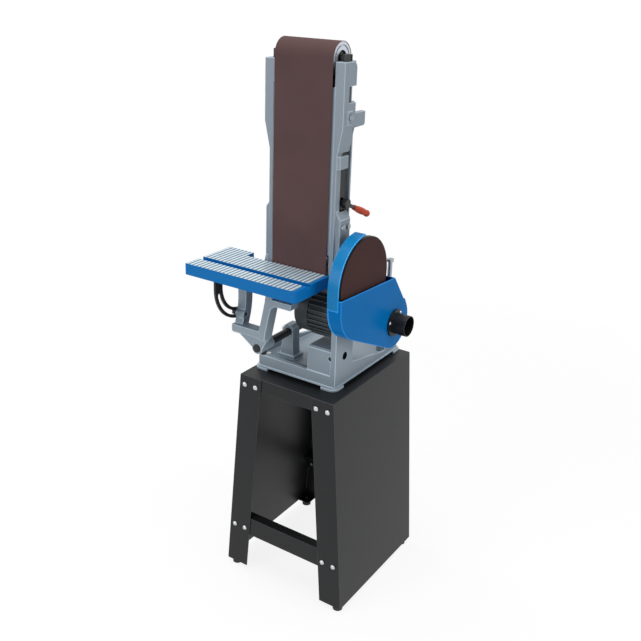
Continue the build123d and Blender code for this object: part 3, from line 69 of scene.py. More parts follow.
# camera that took the photograph: place in metres, turns in degrees, frame in millimetres
CAMERA_PLACE = (1.0659, -1.6490, 1.5400)
CAMERA_YAW = 32.74
CAMERA_PITCH = 22.37
CAMERA_ROLL = 2.02
CAMERA_FRAME = 36.0
CAMERA_REACH = 100.0
# soft square lamps: name, place and side in metres, power in watts
LAMPS = (
    ("key_light", (2.9, 0.2, 1.5), 1.7, 31.0),
    ("top_light", (0.1, -0.4, 3.3), 2.4, 60.0),
    ("fill_light", (-0.9, -2.8, 1.7), 1.6, 37.0),
    ("rim_light", (-2.8, 0.3, 1.4), 1.4, 26.0),
)
LAMP_AIM = (0.0, 0.0, 0.8)
WHITE = (1.0, 1.0, 1.0, 1.0)
# light that the world gives the sander, as a share of the white that is seen
WORLD_LEVEL = 0.36
# floor's side in metres and its paint
FLOOR_SIDE = 30.0
FLOOR_PAINT = (0.9, 0.9, 0.9, 1.0)
# share of plain white in the floor at the sander, and the distances over which it becomes whole
FLOOR_GLOW = 0.86
GLOW_NEAR = 0.5
GLOW_FAR = 2.5

# points of a solid's mesh that lie nearer than this are one point
WELD_NEAR = 0.02 * MM
# edges that turn further than this are rounded, apart from those that meet at a hair's angle
SHARP_ANGLE = math.radians(28.0)
HAIR_ANGLE = math.radians(30.0)
EDGE_STEPS = 2
# edges of turned pieces and of wire that turn further than this stay crisp
TURNED_CREASE = math.radians(38.0)
WIRE_CREASE = math.radians(50.0)
# how near a face lies to a bore's wall to be part of it
BORE_NEAR = 0.3 * MM

# widths of the soft clouds in the colour of each kind of surface
COAT_CLOUD = 120.0 * MM
METAL_CLOUD = 18.0 * MM
ABRASIVE_CLOUD = 160.0 * MM
IRON_CLOUD = 14.0 * MM
# turning marks, drawn as wide bands because the real ones are too fine to see
TURNING_BAND = 10.05 * MM
# scale at which a wave pattern's bands lie one metre apart
BAND_SCALE = math.pi / 10
# eggshell skin that a mould leaves, and relief of an abrasive's grain
MOULD_SKIN = 2.0 * MM
MOULD_DEPTH = 0.1 * MM
GRAIN_DEPTH = 0.3 * MM
# lumps under a sprayed coat, as multiples of its peel's width and depth
LUMP_WIDE = 5.0
LUMP_DEEP = 4.0
# depths of the peel of the sprayed coats
CAST_DEPTH = 0.35 * MM
EDGE_DEPTH = 0.1 * MM
POWDER_DEPTH = 0.12 * MM
MOTOR_DEPTH = 0.08 * MM
GLOSS_DEPTH = 0.06 * MM

# table's mitre slot, as far from the front as the solid has it, and the pads' inset from it
SLOT_FROM_FRONT = 54.0 * MM
SLOT_HALF = 8.5 * MM
PAD_INSET = 1.0 * MM
# how far a pad's outline runs past the table's open sides
PAD_PAST = 50.0 * MM
# table's ribs: pitch, height of the lands, and where the shade beside a groove starts and ends
RIB_PITCH = 11.2 * MM
LAND_HIGH = 2.0 * MM
SHADE_START = 0.8 * MM
SHADE_END = 4.2 * MM
# how far a land has to face up, shares of the iron's colour in a groove, as painted shade, and in the brightest
# clouds, and how metallic the lands are
LAND_FACING = 0.3
GROOVE_SHADE_SHARE = 0.36
BRIGHT_SHARE = 1.4
LAND_METAL = 0.4

# screws round the dust port's flange: pan heads with a hexagon socket
SCREW_HEAD = ((4.0 * MM, 0, 0, 0), (4.0 * MM, 0.9 * MM, 0, 0), (3.4 * MM, 1.9 * MM, 0, 0),
              (2.2 * MM, 2.4 * MM, 0, 1), (2.0 * MM, 1.0 * MM, 0, 1))
FLANGE_THICK = 5.0 * MM
SCREW_CIRCLE = 30.3 * MM
SCREW_ANGLES = (165.0, 45.0, 285.0)
SCREW_SIDES = 24
# lever's slope in degrees, and its grip's place and size along it
LEVER_ANGLE = -24.0
GRIP_START = 36.0 * MM
GRIP_LONG = 70.0 * MM
GRIP_RADIUS = 8.5 * MM
GRIP_SIDES = 48
GRIP_FLUTES = 8
# grip's rings: shares of its length and of its radius, and the depth of the flutes
GRIP_SHAPE = (
    (0.0, 0.60, 0.0), (0.02, 0.70, 0.0), (0.10, 0.74, 0.0), (0.14, 0.76, 0.12),
    (0.35, 0.93, 0.14), (0.55, 0.99, 0.14), (0.74, 0.92, 0.14), (0.80, 0.86, 0.08),
    (0.84, 0.84, 0.0), (0.90, 0.93, 0.0), (0.96, 0.96, 0.0), (0.99, 0.88, 0.0),
    (1.0, 0.7, 0.0),
)
# springs that press the idler's carriage: radius of the wire, turns, and steps in a turn
SPRING_WIRE = 1.2 * MM
SPRING_TURNS = 4
SPRING_STEPS = 32
WIRE_SIDES = 10


def to_linear(code):
    channels = [int(code[i:i + 2], 16) / 255 for i in (1, 3, 5)]
    return tuple(c / 12.92 if c <= 0.04045 else ((c + 0.055) / 1.055) ** 2.4 for c in channels)


def colour(name, text, code):
    return bpy.props.FloatVectorProperty(name=name, description=text, subtype="COLOR", size=3,
                                         min=0.0, max=1.0, default=to_linear(code))


def length(name, text, value):
    return bpy.props.FloatProperty(name=name, description=text, unit="LENGTH",
                                   subtype="DISTANCE", min=0.0, default=value)


class SanderColours(bpy.types.PropertyGroup):
    stand: colour("Stand", "Black powder coat of the sheet steel stand", "#151618")
    casting: colour("Castings", "Grey enamel of the base and yoke", "#828F99")
    arm: colour("Arm", "Grey enamel of the arm", "#79848E")
    enamel: colour("Blue enamel", "Blue enamel of the guard and the table's sides", "#0262A2")
    # painted light: the housing's blue is a lighter copy of the guard's enamel, standing for the light on its top
    rim: colour("Housing rim", "Blue enamel of the disc housing's rolled rim", "#0F6EA5")
    iron: colour("Machined iron", "Milled face of the table", "#B9CAD5")
    cloth: colour("Belt", "Grain of the sanding belt", "#4F3B3B")
    paper: colour("Disc", "Grain of the sanding disc", "#382322")
    alloy: colour("Aluminium", "Turned aluminium of the drums", "#C2C7CF")
    steel: colour("Steel", "Turned steel", "#9AA1A7")
    zinc: colour("Zinc", "Zinc plated bolts", "#C8CACC")
    dark: colour("Black oxide", "Blackened steel", "#18191B")
    motor: colour("Motor", "Black enamel of the motor", "#353B3D")
    moulded: colour("Black plastic", "Moulded ABS of the dust port", "#0C0D0F")
    rubber: colour("Rubber", "Feet and drive belt", "#17181A")
    grip: colour("Grip", "Orange plastic of the lever's grip", "#AE3608")


class SanderSizes(bpy.types.PropertyGroup):
    casting_edge: length("Casting edge", "Rounding of cast edges", 1.3 * MM)
    guard_edge: length("Guard edge", "Rounding of the pressed guard's edges", 1.6 * MM)
    sheet_edge: length("Sheet edge", "Rounding of bent and pressed sheet", 0.8 * MM)
    table_edge: length("Table edge", "Rounding of the table's ribs and edges", 0.35 * MM)
    pad_border: length("Pad border", "Blue border at the right end of the pads", 10.0 * MM)
    pad_corner: length("Pad corner", "Corner radius of the ribbed pads", 9.0 * MM)
    cast_skin: length("Cast skin", "Width of the lumps in the sprayed cast skin", 5.0 * MM)
    coat_grain: length("Powder coat grain", "Width of the grain, coarse so it shows", 2.5 * MM)
    grit: length("Grit", "Width of a clump of grain, coarse so it shows", 1.4 * MM)
    mill_line: length("Milling line", "Spacing of the lines, coarse so it shows", 1.6 * MM)
    lens: length("Lens", "Focal length of the camera on a 36 mm frame", 47.81 * MM)


# Colour with each channel times a share, no brighter than white
def scaled(values, share):
    return tuple(min(1.0, v * share) for v in values)


def rgba(values, share=1.0):
    return scaled(values, share) + (1.0,)


# Adds one node with its settings, its fixed inputs and its links
def add(tree, kind, inputs=None, **settings):
    node = tree.nodes.new(kind)
    for key, value in settings.items():
        setattr(node, key, value)
    for socket, source in (inputs or {}).items():
        if isinstance(source, bpy.types.NodeSocket):
            tree.links.new(source, node.inputs[socket])
        else:
            node.inputs[socket].default_value = source
    return node


# Material with an empty tree, its shader with the fixed inputs, and its output
def begin(name, fixed):
    mat = bpy.data.materials.get(name) or bpy.data.materials.new(name)
    mat.use_nodes = True
    tree = mat.node_tree
    tree.nodes.clear()
    shader = add(tree, "ShaderNodeBsdfPrincipled", fixed)
    add(tree, "ShaderNodeOutputMaterial", {"Surface": shader.outputs["BSDF"]})
    return mat, tree, shader


# Sprayed coat: orange peel over a slightly wavy skin, and faint clouds in the colour
def coated(name, values, roughness, peel, depth, cloud, shine):
    mat, tree, shader = begin(name, {"Roughness": roughness, "Specular IOR Level": shine})
    place = add(tree, "ShaderNodeTexCoord").outputs["Object"]
    broad = add(tree, "ShaderNodeTexNoise", {"Vector": place, "Scale": 1 / COAT_CLOUD,
                                             "Detail": 3.0})
    shade = add(tree, "ShaderNodeMix", {0: broad.outputs["Fac"], 6: rgba(values, 1 - cloud),
                                        7: rgba(values, 1 + cloud)}, data_type="RGBA")
    tree.links.new(shade.outputs[2], shader.inputs["Base Color"])
    skin = add(tree, "ShaderNodeTexNoise", {"Vector": place, "Scale": 1 / peel, "Detail": 2.0})
    lumps = add(tree, "ShaderNodeTexNoise", {"Vector": place, "Scale": 1 / (LUMP_WIDE * peel),
                                             "Detail": 2.0})
    fine = add(tree, "ShaderNodeBump", {"Height": skin.outputs["Fac"], "Strength": 0.4,
                                        "Distance": depth})
    wavy = add(tree, "ShaderNodeBump", {"Height": lumps.outputs["Fac"], "Strength": 0.4,
                                        "Distance": LUMP_DEEP * depth,
                                        "Normal": fine.outputs["Normal"]})
    tree.links.new(wavy.outputs["Normal"], shader.inputs["Normal"])
    gloss = add(tree, "ShaderNodeMapRange", {"Value": skin.outputs["Fac"],
                                             "To Min": roughness - 0.06,
                                             "To Max": roughness + 0.08})
    tree.links.new(gloss.outputs["Result"], shader.inputs["Roughness"])
    return mat


# Turned or plated metal: soft clouds in the colour, and turning marks as bands of gloss
def bare_metal(name, values, roughness, metallic=1.0):
    mat, tree, shader = begin(name, {"Metallic": metallic, "Roughness": roughness})
    place = add(tree, "ShaderNodeTexCoord").outputs["Object"]
    cloud = add(tree, "ShaderNodeTexNoise", {"Vector": place, "Scale": 1 / METAL_CLOUD,
                                             "Detail": 4.0})
    shade = add(tree, "ShaderNodeMix", {0: cloud.outputs["Fac"], 6: rgba(values, share=0.85),
                                        7: rgba(values, share=1.1)}, data_type="RGBA")
    tree.links.new(shade.outputs[2], shader.inputs["Base Color"])
    bands = add(tree, "ShaderNodeTexWave", {"Vector": place,
                                            "Scale": BAND_SCALE / TURNING_BAND,
                                            "Distortion": 1.5, "Detail": 2.0},
                wave_type="BANDS", bands_direction="X")
    gloss = add(tree, "ShaderNodeMapRange", {"Value": bands.outputs["Fac"],
                                             "To Min": roughness - 0.06,
                                             "To Max": roughness + 0.06})
    tree.links.new(gloss.outputs["Result"], shader.inputs["Roughness"])
    return mat


# Moulded plastic or rubber: even colour with a slight eggshell skin
def moulded(name, values, roughness, ior, shine=0.5):
    mat, tree, shader = begin(name, {"Roughness": roughness, "IOR": ior,
                                     "Specular IOR Level": shine})
    place = add(tree, "ShaderNodeTexCoord").outputs["Object"]
    skin = add(tree, "ShaderNodeTexNoise", {"Vector": place, "Scale": 1 / MOULD_SKIN,
                                            "Detail": 2.0})
    shade = add(tree, "ShaderNodeMix", {0: skin.outputs["Fac"], 6: rgba(values, share=0.88),
                                        7: rgba(values, share=1.08)}, data_type="RGBA")
    tree.links.new(shade.outputs[2], shader.inputs["Base Color"])
    bump = add(tree, "ShaderNodeBump", {"Height": skin.outputs["Fac"], "Strength": 0.2,
                                        "Distance": MOULD_DEPTH})
    tree.links.new(bump.outputs["Normal"], shader.inputs["Normal"])
    return mat


# Coated abrasive: clumps of grain in resin, far coarser than real grit so that they show
def abrasive(name, values, grit):
    mat, tree, shader = begin(name, {"Roughness": 0.72, "Specular IOR Level": 0.12})
    place = add(tree, "ShaderNodeTexCoord").outputs["Object"]
    grain = add(tree, "ShaderNodeTexNoise", {"Vector": place, "Scale": 1 / grit, "Detail": 6.0,
                                             "Roughness": 0.7})
    cloud = add(tree, "ShaderNodeTexNoise", {"Vector": place, "Scale": 1 / ABRASIVE_CLOUD,
                                             "Detail": 2.0})
    both = add(tree, "ShaderNodeMath", {0: grain.outputs["Fac"], 1: cloud.outputs["Fac"]},
               operation="ADD")
    spread = add(tree, "ShaderNodeMapRange", {"Value": both.outputs["Value"], "From Min": 0.6,
                                              "From Max": 1.4})
    shade = add(tree, "ShaderNodeMix", {0: spread.outputs["Result"], 6: rgba(values, share=0.8),
                                        7: rgba(values, share=1.2)}, data_type="RGBA")
    tree.links.new(shade.outputs[2], shader.inputs["Base Color"])
    bump = add(tree, "ShaderNodeBump", {"Height": grain.outputs["Fac"], "Strength": 0.5,
                                        "Distance": GRAIN_DEPTH})
    tree.links.new(bump.outputs["Normal"], shader.inputs["Normal"])
    return mat


# One inside a rectangle with round corners and zero outside it, seen from above
def inside_pad(tree, place, low, high, corner):
    middle = ((low[0] + high[0]) / 2, (low[1] + high[1]) / 2, 0)
    half = ((high[0] - low[0]) / 2 - corner, (high[1] - low[1]) / 2 - corner, 0)
    off = add(tree, "ShaderNodeVectorMath", {0: place, 1: middle}, operation="SUBTRACT")
    flat = add(tree, "ShaderNodeVectorMath", {0: off.outputs["Vector"], 1: (1, 1, 0)},
               operation="MULTIPLY")
    size = add(tree, "ShaderNodeVectorMath", {0: flat.outputs["Vector"]}, operation="ABSOLUTE")
    past = add(tree, "ShaderNodeVectorMath", {0: size.outputs["Vector"], 1: half},
               operation="SUBTRACT")
    out = add(tree, "ShaderNodeVectorMath", {0: past.outputs["Vector"], 1: (0, 0, 0)},
              operation="MAXIMUM")
    reach = add(tree, "ShaderNodeVectorMath", {0: out.outputs["Vector"]}, operation="LENGTH")
    near = add(tree, "ShaderNodeMath", {0: reach.outputs["Value"], 1: corner},
               operation="LESS_THAN")
    return near.outputs["Value"]


# Table: milled iron on the two ribbed pads, blue enamel on the border, the sides and the slot
def milled_table(name, iron, enamel, sizes, low, high):
    mat, tree, shader = begin(name, {"Specular IOR Level": 0.12})
    coords = add(tree, "ShaderNodeTexCoord")
    place = coords.outputs["Object"]
    facing = add(tree, "ShaderNodeSeparateXYZ", {"Vector": coords.outputs["Normal"]})
    where = add(tree, "ShaderNodeSeparateXYZ", {"Vector": place})
    up = add(tree, "ShaderNodeMath", {0: facing.outputs["Z"], 1: LAND_FACING},
             operation="GREATER_THAN")
    raised = add(tree, "ShaderNodeMath", {0: where.outputs["Z"], 1: high[2] - LAND_HIGH},
                 operation="GREATER_THAN")
    face = add(tree, "ShaderNodeMath", {0: up.outputs["Value"], 1: raised.outputs["Value"]},
               operation="MULTIPLY")
    # one pad on each side of the slot, running off the table on its open sides
    slot = low[1] + SLOT_FROM_FRONT
    left, right = low[0] - PAD_PAST, high[0] - sizes.pad_border
    front = inside_pad(tree, place, (left, low[1] + PAD_INSET),
                       (right, slot - SLOT_HALF - PAD_INSET), sizes.pad_corner)
    rear = inside_pad(tree, place, (left, slot + SLOT_HALF + PAD_INSET),
                      (right, high[1] + PAD_PAST), sizes.pad_corner)
    either = add(tree, "ShaderNodeMath", {0: front, 1: rear}, operation="MAXIMUM")
    bare = add(tree, "ShaderNodeMath", {0: face.outputs["Value"], 1: either.outputs["Value"]},
               operation="MULTIPLY").outputs["Value"]
    # painted shade: the ribs darken towards each cut groove, and the groove's floor is darkest
    long = high[0] - low[0]
    first = low[0] + (long - (int(long / RIB_PITCH) - 1) * RIB_PITCH) / 2
    across = add(tree, "ShaderNodeMath", {0: where.outputs["X"], 1: first}, operation="SUBTRACT")
    beside = add(tree, "ShaderNodeMath", {0: across.outputs["Value"], 1: RIB_PITCH / 2},
                 operation="PINGPONG")
    deep = add(tree, "ShaderNodeMapRange", {"Value": beside.outputs["Value"],
                                            "From Min": SHADE_START, "From Max": SHADE_END},
               interpolation_type="SMOOTHSTEP")
    cloud = add(tree, "ShaderNodeTexNoise", {"Vector": place, "Scale": 1 / IRON_CLOUD,
                                             "Detail": 4.0})
    bright = add(tree, "ShaderNodeMix", {0: cloud.outputs["Fac"], 6: rgba(iron),
                                         7: rgba(iron, BRIGHT_SHARE)}, data_type="RGBA")
    painted_groove_shade = add(tree, "ShaderNodeMix", {0: deep.outputs["Result"], 6: rgba(iron, GROOVE_SHADE_SHARE),
                                      7: bright.outputs[2]}, data_type="RGBA")
    shade = add(tree, "ShaderNodeMix", {0: bare, 6: rgba(enamel), 7: painted_groove_shade.outputs[2]},
                data_type="RGBA")
    tree.links.new(shade.outputs[2], shader.inputs["Base Color"])
    metal = add(tree, "ShaderNodeMath", {0: bare, 1: LAND_METAL}, operation="MULTIPLY")
    tree.links.new(metal.outputs["Value"], shader.inputs["Metallic"])
    lines = add(tree, "ShaderNodeTexWave", {"Vector": place,
                                            "Scale": BAND_SCALE / sizes.mill_line,
                                            "Distortion": 0.6},
                wave_type="BANDS", bands_direction="Y")
    gloss = add(tree, "ShaderNodeMapRange", {"Value": lines.outputs["Fac"], "To Min": 0.34,
                                             "To Max": 0.5})
    tree.links.new(gloss.outputs["Result"], shader.inputs["Roughness"])
    return mat


# Gives solids a finish, and where edges are rounded, a second finish along them, which the callers give as a
# lighter copy: a painted highlight
def dress(mat, names, edge=0.0, rim=None):
    for name in names:
        obj = NODES[name]
        obj.data.materials.clear()
        obj.data.materials.append(mat)
        if edge > 0:
            weld = obj.modifiers.new("joined_faces", "WELD")
            weld.merge_threshold = WELD_NEAR
            soft = obj.modifiers.new("rounded_edges", "BEVEL")
            soft.width = edge
            soft.segments = EDGE_STEPS
            soft.limit_method = "ANGLE"
            soft.angle_limit = SHARP_ANGLE
            soft.use_clamp_overlap = False
            soft.loop_slide = False
            # the rounding takes the second material, a lighter copy that is a painted highlight
            if rim:
                obj.data.materials.append(rim)
                soft.material = 1
            even = obj.modifiers.new("even_shading", "WEIGHTED_NORMAL")
            even.keep_sharp = True


# Object with the finished form as its mesh
def piece_from(name, form, mats):
    mesh = bpy.data.meshes.new(name)
    form.to_mesh(mesh)
    form.free()
    for mat in mats:
        mesh.materials.append(mat)
    mesh.shade_smooth()
    piece = bpy.data.objects.new(name, mesh)
    bpy.context.scene.collection.objects.link(piece)
    return piece


# Casting with rounded edges, apart from the few that meet at a hair's angle, a second finish on the rounding as a
# painted highlight, and a bare bore whose wall is painted dark as shade
def rounded_casting(name, node, edge, mat, rim, inside, bore):
    form = bmesh.new()
    form.from_mesh(NODES[node].data)
    bmesh.ops.remove_doubles(form, verts=form.verts, dist=WELD_NEAR)
    sharp = {e for e in form.edges if e.is_manifold and e.calc_face_angle() > SHARP_ANGLE}
    hair = set()
    for vert in form.verts:
        ways = [(e.other_vert(vert).co - vert.co).normalized()
                for e in vert.link_edges if e in sharp]
        if any(a.angle(b) < HAIR_ANGLE for i, a in enumerate(ways) for b in ways[:i]):
            hair.add(vert)
    chosen = [e for e in form.edges if e in sharp and not hair.intersection(e.verts)]
    # the rounding takes the second material, the painted highlight
    bmesh.ops.bevel(form, geom=chosen, offset=edge, offset_type="OFFSET", segments=EDGE_STEPS,
                    profile=0.5, affect="EDGES", clamp_overlap=False, loop_slide=False,
                    material=1)
    mouth = Vector(bore["pos_m"])
    reach = bore["dims"]["r_mm"] * MM + BORE_NEAR
    deep = bore["dims"]["length_mm"] * MM + BORE_NEAR
    for face in form.faces:
        off = face.calc_center_median() - mouth
        if -deep < off.x < 0 and math.hypot(off.y, off.z) < reach:
            face.material_index = 2
    piece = piece_from(name, form, (mat, rim, inside))
    even = piece.modifiers.new("even_shading", "WEIGHTED_NORMAL")
    even.keep_sharp = True
    return piece


# Turned piece: rings of radius, height, share of fluting and share of a hexagon
def turned(name, rings, sides, place, mat):
    form = bmesh.new()
    rows = []
    for radius, height, fluted, hexed in rings:
        row = []
        for i in range(sides):
            turn = 2 * math.pi * i / sides
            slant = (turn + math.pi / 6) % (math.pi / 3) - math.pi / 6
            reach = radius * (1 - fluted * (0.5 + 0.5 * math.cos(GRIP_FLUTES * turn)))
            reach *= 1 + hexed * (math.cos(math.pi / 6) / math.cos(slant) - 1)
            row.append(form.verts.new((reach * math.cos(turn), reach * math.sin(turn), height)))
        rows.append(row)
    for low, high in zip(rows, rows[1:]):
        for i in range(sides):
            j = (i + 1) % sides
            form.faces.new((low[i], low[j], high[j], high[i]))
    form.faces.new(list(reversed(rows[0])))
    form.faces.new(rows[-1])
    piece = piece_from(name, form, (mat,))
    piece.data.set_sharp_from_angle(angle=TURNED_CREASE)
    piece.data.transform(place)
    return piece


# Round wire wound into a spring for each centre, with half a turn laid flat at both ends
def wound(name, centres, radius, wire, low, high, mat):
    form = bmesh.new()
    for x, y in centres:
        rows = []
        for i in range(SPRING_TURNS * SPRING_STEPS + 1):
            turn = 2 * math.pi * i / SPRING_STEPS
            share = min(max((i / SPRING_STEPS - 0.5) / (SPRING_TURNS - 1), 0.0), 1.0)
            z = low + wire + (high - low - 2 * wire) * share
            row = []
            for j in range(WIRE_SIDES):
                round_wire = 2 * math.pi * j / WIRE_SIDES
                reach = radius + wire * math.cos(round_wire)
                row.append(form.verts.new((x + reach * math.cos(turn), y + reach * math.sin(turn),
                                           z + wire * math.sin(round_wire))))
            rows.append(row)
        for here, there in zip(rows, rows[1:]):
            for j in range(WIRE_SIDES):
                k = (j + 1) % WIRE_SIDES
                form.faces.new((here[j], there[j], there[k], here[k]))
        form.faces.new(rows[0])
        form.faces.new(list(reversed(rows[-1])))
    bmesh.ops.recalc_face_normals(form, faces=form.faces)
    piece = piece_from(name, form, (mat,))
    piece.data.set_sharp_from_angle(angle=WIRE_CREASE)
    return piece


# One where the camera looks at the backdrop, by itself or by way of metal or glass, else zero
def seen_backdrop(tree):
    path = add(tree, "ShaderNodeLightPath")
    shiny = add(tree, "ShaderNodeMath", {0: path.outputs["Is Camera Ray"],
                                         1: path.outputs["Is Glossy Ray"]}, operation="MAXIMUM")
    clear = add(tree, "ShaderNodeMath", {0: shiny.outputs["Value"],
                                         1: path.outputs["Is Transmission Ray"]},
                operation="MAXIMUM")
    return clear.outputs["Value"]


# Floor that looks white, keeps the shadow near the sander and fades into the background
def lay_floor(context):
    bpy.ops.mesh.primitive_plane_add(size=FLOOR_SIDE)
    floor = context.object
    floor.name = "studio_floor"
    mat = bpy.data.materials.new("matt_white_floor")
    mat.use_nodes = True
    tree = mat.node_tree
    tree.nodes.clear()
    place = add(tree, "ShaderNodeTexCoord").outputs["Object"]
    reach = add(tree, "ShaderNodeVectorMath", {0: place}, operation="LENGTH")
    fade = add(tree, "ShaderNodeMapRange", {"Value": reach.outputs["Value"],
                                            "From Min": GLOW_NEAR, "From Max": GLOW_FAR,
                                            "To Min": FLOOR_GLOW, "To Max": 1.0})
    share = add(tree, "ShaderNodeMath", {0: seen_backdrop(tree), 1: fade.outputs["Result"]},
                operation="MULTIPLY")
    plain = add(tree, "ShaderNodeBsdfDiffuse", {"Color": FLOOR_PAINT})
    glow = add(tree, "ShaderNodeEmission", {"Color": WHITE, "Strength": 1.0})
    both = add(tree, "ShaderNodeMixShader", {0: share.outputs["Value"], 1: plain.outputs["BSDF"],
                                             2: glow.outputs["Emission"]})
    add(tree, "ShaderNodeOutputMaterial", {"Surface": both.outputs["Shader"]})
    floor.data.materials.append(mat)


# World that looks white, and lights the sander at a plain level
def light_world(scene):
    world = bpy.data.worlds.new("studio")
    scene.world = world
    world.use_nodes = True
    tree = world.node_tree
    tree.nodes.clear()
    level = add(tree, "ShaderNodeMapRange", {"Value": seen_backdrop(tree), "To Min": WORLD_LEVEL,
                                             "To Max": 1.0})
    sky = add(tree, "ShaderNodeBackground", {"Color": WHITE, "Strength": level.outputs["Result"]})
    add(tree, "ShaderNodeOutputWorld", {"Surface": sky.outputs["Background"]})


def hang_lamps(scene):
    for name, place, side, power in LAMPS:
        lamp = bpy.data.lights.new(name, "AREA")
        lamp.size = side
        lamp.energy = power
        holder = bpy.data.objects.new(name, lamp)
        holder.location = place
        aim = Vector(LAMP_AIM) - Vector(place)
        holder.rotation_euler = aim.to_track_quat("-Z", "Y").to_euler()
        scene.collection.objects.link(holder)


def place_camera(scene):
    cam = bpy.data.cameras.new("photo_camera")
    cam.lens = scene.sander_sizes.lens / MM
    cam.sensor_width = CAMERA_FRAME
    cam.clip_end = CAMERA_REACH
    eye = bpy.data.objects.new("photo_camera", cam)
    yaw, pitch, roll = (math.radians(a) for a in (CAMERA_YAW, CAMERA_PITCH, CAMERA_ROLL))
    look = Vector((-math.sin(yaw) * math.cos(pitch), math.cos(yaw) * math.cos(pitch),
                   -math.sin(pitch)))
    side = look.cross(Vector((0, 0, 1))).normalized()
    up = side.cross(look)
    right = side * math.cos(roll) + up * math.sin(roll)
    top = up * math.cos(roll) - side * math.sin(roll)
    turn = Matrix((right, top, -look)).transposed().to_4x4()
    eye.matrix_world = Matrix.Translation(CAMERA_PLACE) @ turn
    scene.collection.objects.link(eye)
    scene.camera = eye


class SanderStage(bpy.types.Operator):
    """Makes the floor, the soft light and the camera"""
    bl_idname = "sander.stage"
    bl_label = "Stage"

    def execute(self, context):
        scene = context.scene
        scene.view_settings.view_transform = "Standard"
        lay_floor(context)
        light_world(scene)
        hang_lamps(scene)
        place_camera(scene)
        return {"FINISHED"}


class SanderStand(bpy.types.Operator):
    """Finishes the sheet steel stand, its feet and its bolts"""
    bl_idname = "sander.stand"
    bl_label = "Stand"

    def execute(self, context):
        tone, sizes = context.scene.sander_colours, context.scene.sander_sizes
        # satin black with fine orange peel, and a greyer copy on the rounded bends and edges as a painted
        # highlight
        coat = coated("powder_coated_sheet_steel", tone.stand, roughness=0.4,
                      peel=sizes.coat_grain, depth=POWDER_DEPTH, cloud=0.1, shine=0.27)
        edge_highlight = coated("powder_coat_painted_highlight_on_bends", scaled(tone.stand, share=5.0), roughness=0.34,
                      peel=sizes.coat_grain, depth=POWDER_DEPTH, cloud=0.1, shine=0.36)
        dress(coat, ("stand_side_left", "stand_side_right", "stand_tray", "stand_rail_front",
                     "stand_rail_rear"), sizes.sheet_edge, edge_highlight)
        # bright bluish plating, a little uneven
        dress(bare_metal("zinc_plated_steel", tone.zinc, roughness=0.32), ("stand_bolts",))
        # dull black with hardly any shine
        dress(moulded("moulded_rubber", tone.rubber, roughness=0.7, ior=1.52), ("stand_feet",))
        return {"FINISHED"}


class SanderBase(bpy.types.Operator):
    """Finishes the base casting with its screws and stop"""
    bl_idname = "sander.base"
    bl_label = "Base"

    def execute(self, context):
        tone, sizes = context.scene.sander_colours, context.scene.sander_sizes
        # sand cast lumps under sprayed enamel, and a paler copy on the rounded edges as a painted highlight
        enamel = coated("grey_enamel_on_cast_iron", tone.casting, roughness=0.42,
                        peel=sizes.cast_skin, depth=CAST_DEPTH, cloud=0.08, shine=0.3)
        edge_highlight = coated("grey_enamel_painted_highlight_on_edges", scaled(tone.casting, share=1.9), roughness=0.36,
                      peel=sizes.cast_skin, depth=EDGE_DEPTH, cloud=0.05, shine=0.3)
        dress(enamel, ("base_casting",))
        # bored and never painted; the wall gets the near black of blackened steel as painted shade for the hole's
        # dark inside
        bored = bare_metal("bore_wall_in_painted_shade", tone.dark, roughness=0.5, metallic=0.3)
        mounts = frame["record"]["mounts"]
        socket = next(m for m in mounts if m["name"] == "disc_rod_socket")
        casting = rounded_casting("base_casting_rounded", "base_casting", sizes.casting_edge,
                                  enamel, edge_highlight, bored, socket)
        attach(casting, "frame")
        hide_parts("base_casting")
        zinc = bpy.data.materials["zinc_plated_steel"]
        dress(zinc, ("base_bolt_front", "base_bolt_rear", "rod_clamp_screw"))
        # oiled black finish, dull
        dark = bare_metal("blackened_steel", tone.dark, roughness=0.45, metallic=0.3)
        dress(dark, ("socket_set_screw",))
        # fine turning rings, seen only as a soft shine
        steel = bare_metal("turned_steel", tone.steel, roughness=0.34)
        dress(steel, ("spindle_bearings", "stop_stud", "stop_nut"))
        return {"FINISHED"}


class SanderMotor(bpy.types.Operator):
    """Finishes the motor and the belt drive"""
    bl_idname = "sander.motor"
    bl_label = "Motor and drive"

    def execute(self, context):
        tone, sizes = context.scene.sander_colours, context.scene.sander_sizes
        # satin enamel of little thickness, and a greyer copy along the rounded edges and the fins' tips as a
        # painted highlight
        paint = coated("black_enamel_on_aluminium", tone.motor, roughness=0.4,
                       peel=sizes.coat_grain, depth=MOTOR_DEPTH, cloud=0.1, shine=0.3)
        edge_highlight = coated("black_enamel_painted_highlight_on_fins", scaled(tone.motor, share=1.9), roughness=0.38,
                      peel=sizes.coat_grain, depth=MOTOR_DEPTH, cloud=0.1, shine=0.3)
        dress(paint, ("motor_body", "motor_cover"), sizes.sheet_edge, edge_highlight)
        dress(bpy.data.materials["turned_steel"],
              ("motor_stator", "motor_rotor", "motor_bearing", "spindle"))
        # fine eggshell skin from the mould, black
        plastic = moulded("moulded_black_abs", tone.moulded, roughness=0.42, ior=1.54, shine=0.25)
        dress(plastic, ("motor_fan",))
        dress(bpy.data.materials["moulded_rubber"], ("drive_belt",))
        # pale soft shine
        dress(bare_metal("turned_aluminium", tone.alloy, roughness=0.4),
              ("spindle_pulley", "motor_pulley", "drive_drum", "idler_drum"))
        return {"FINISHED"}


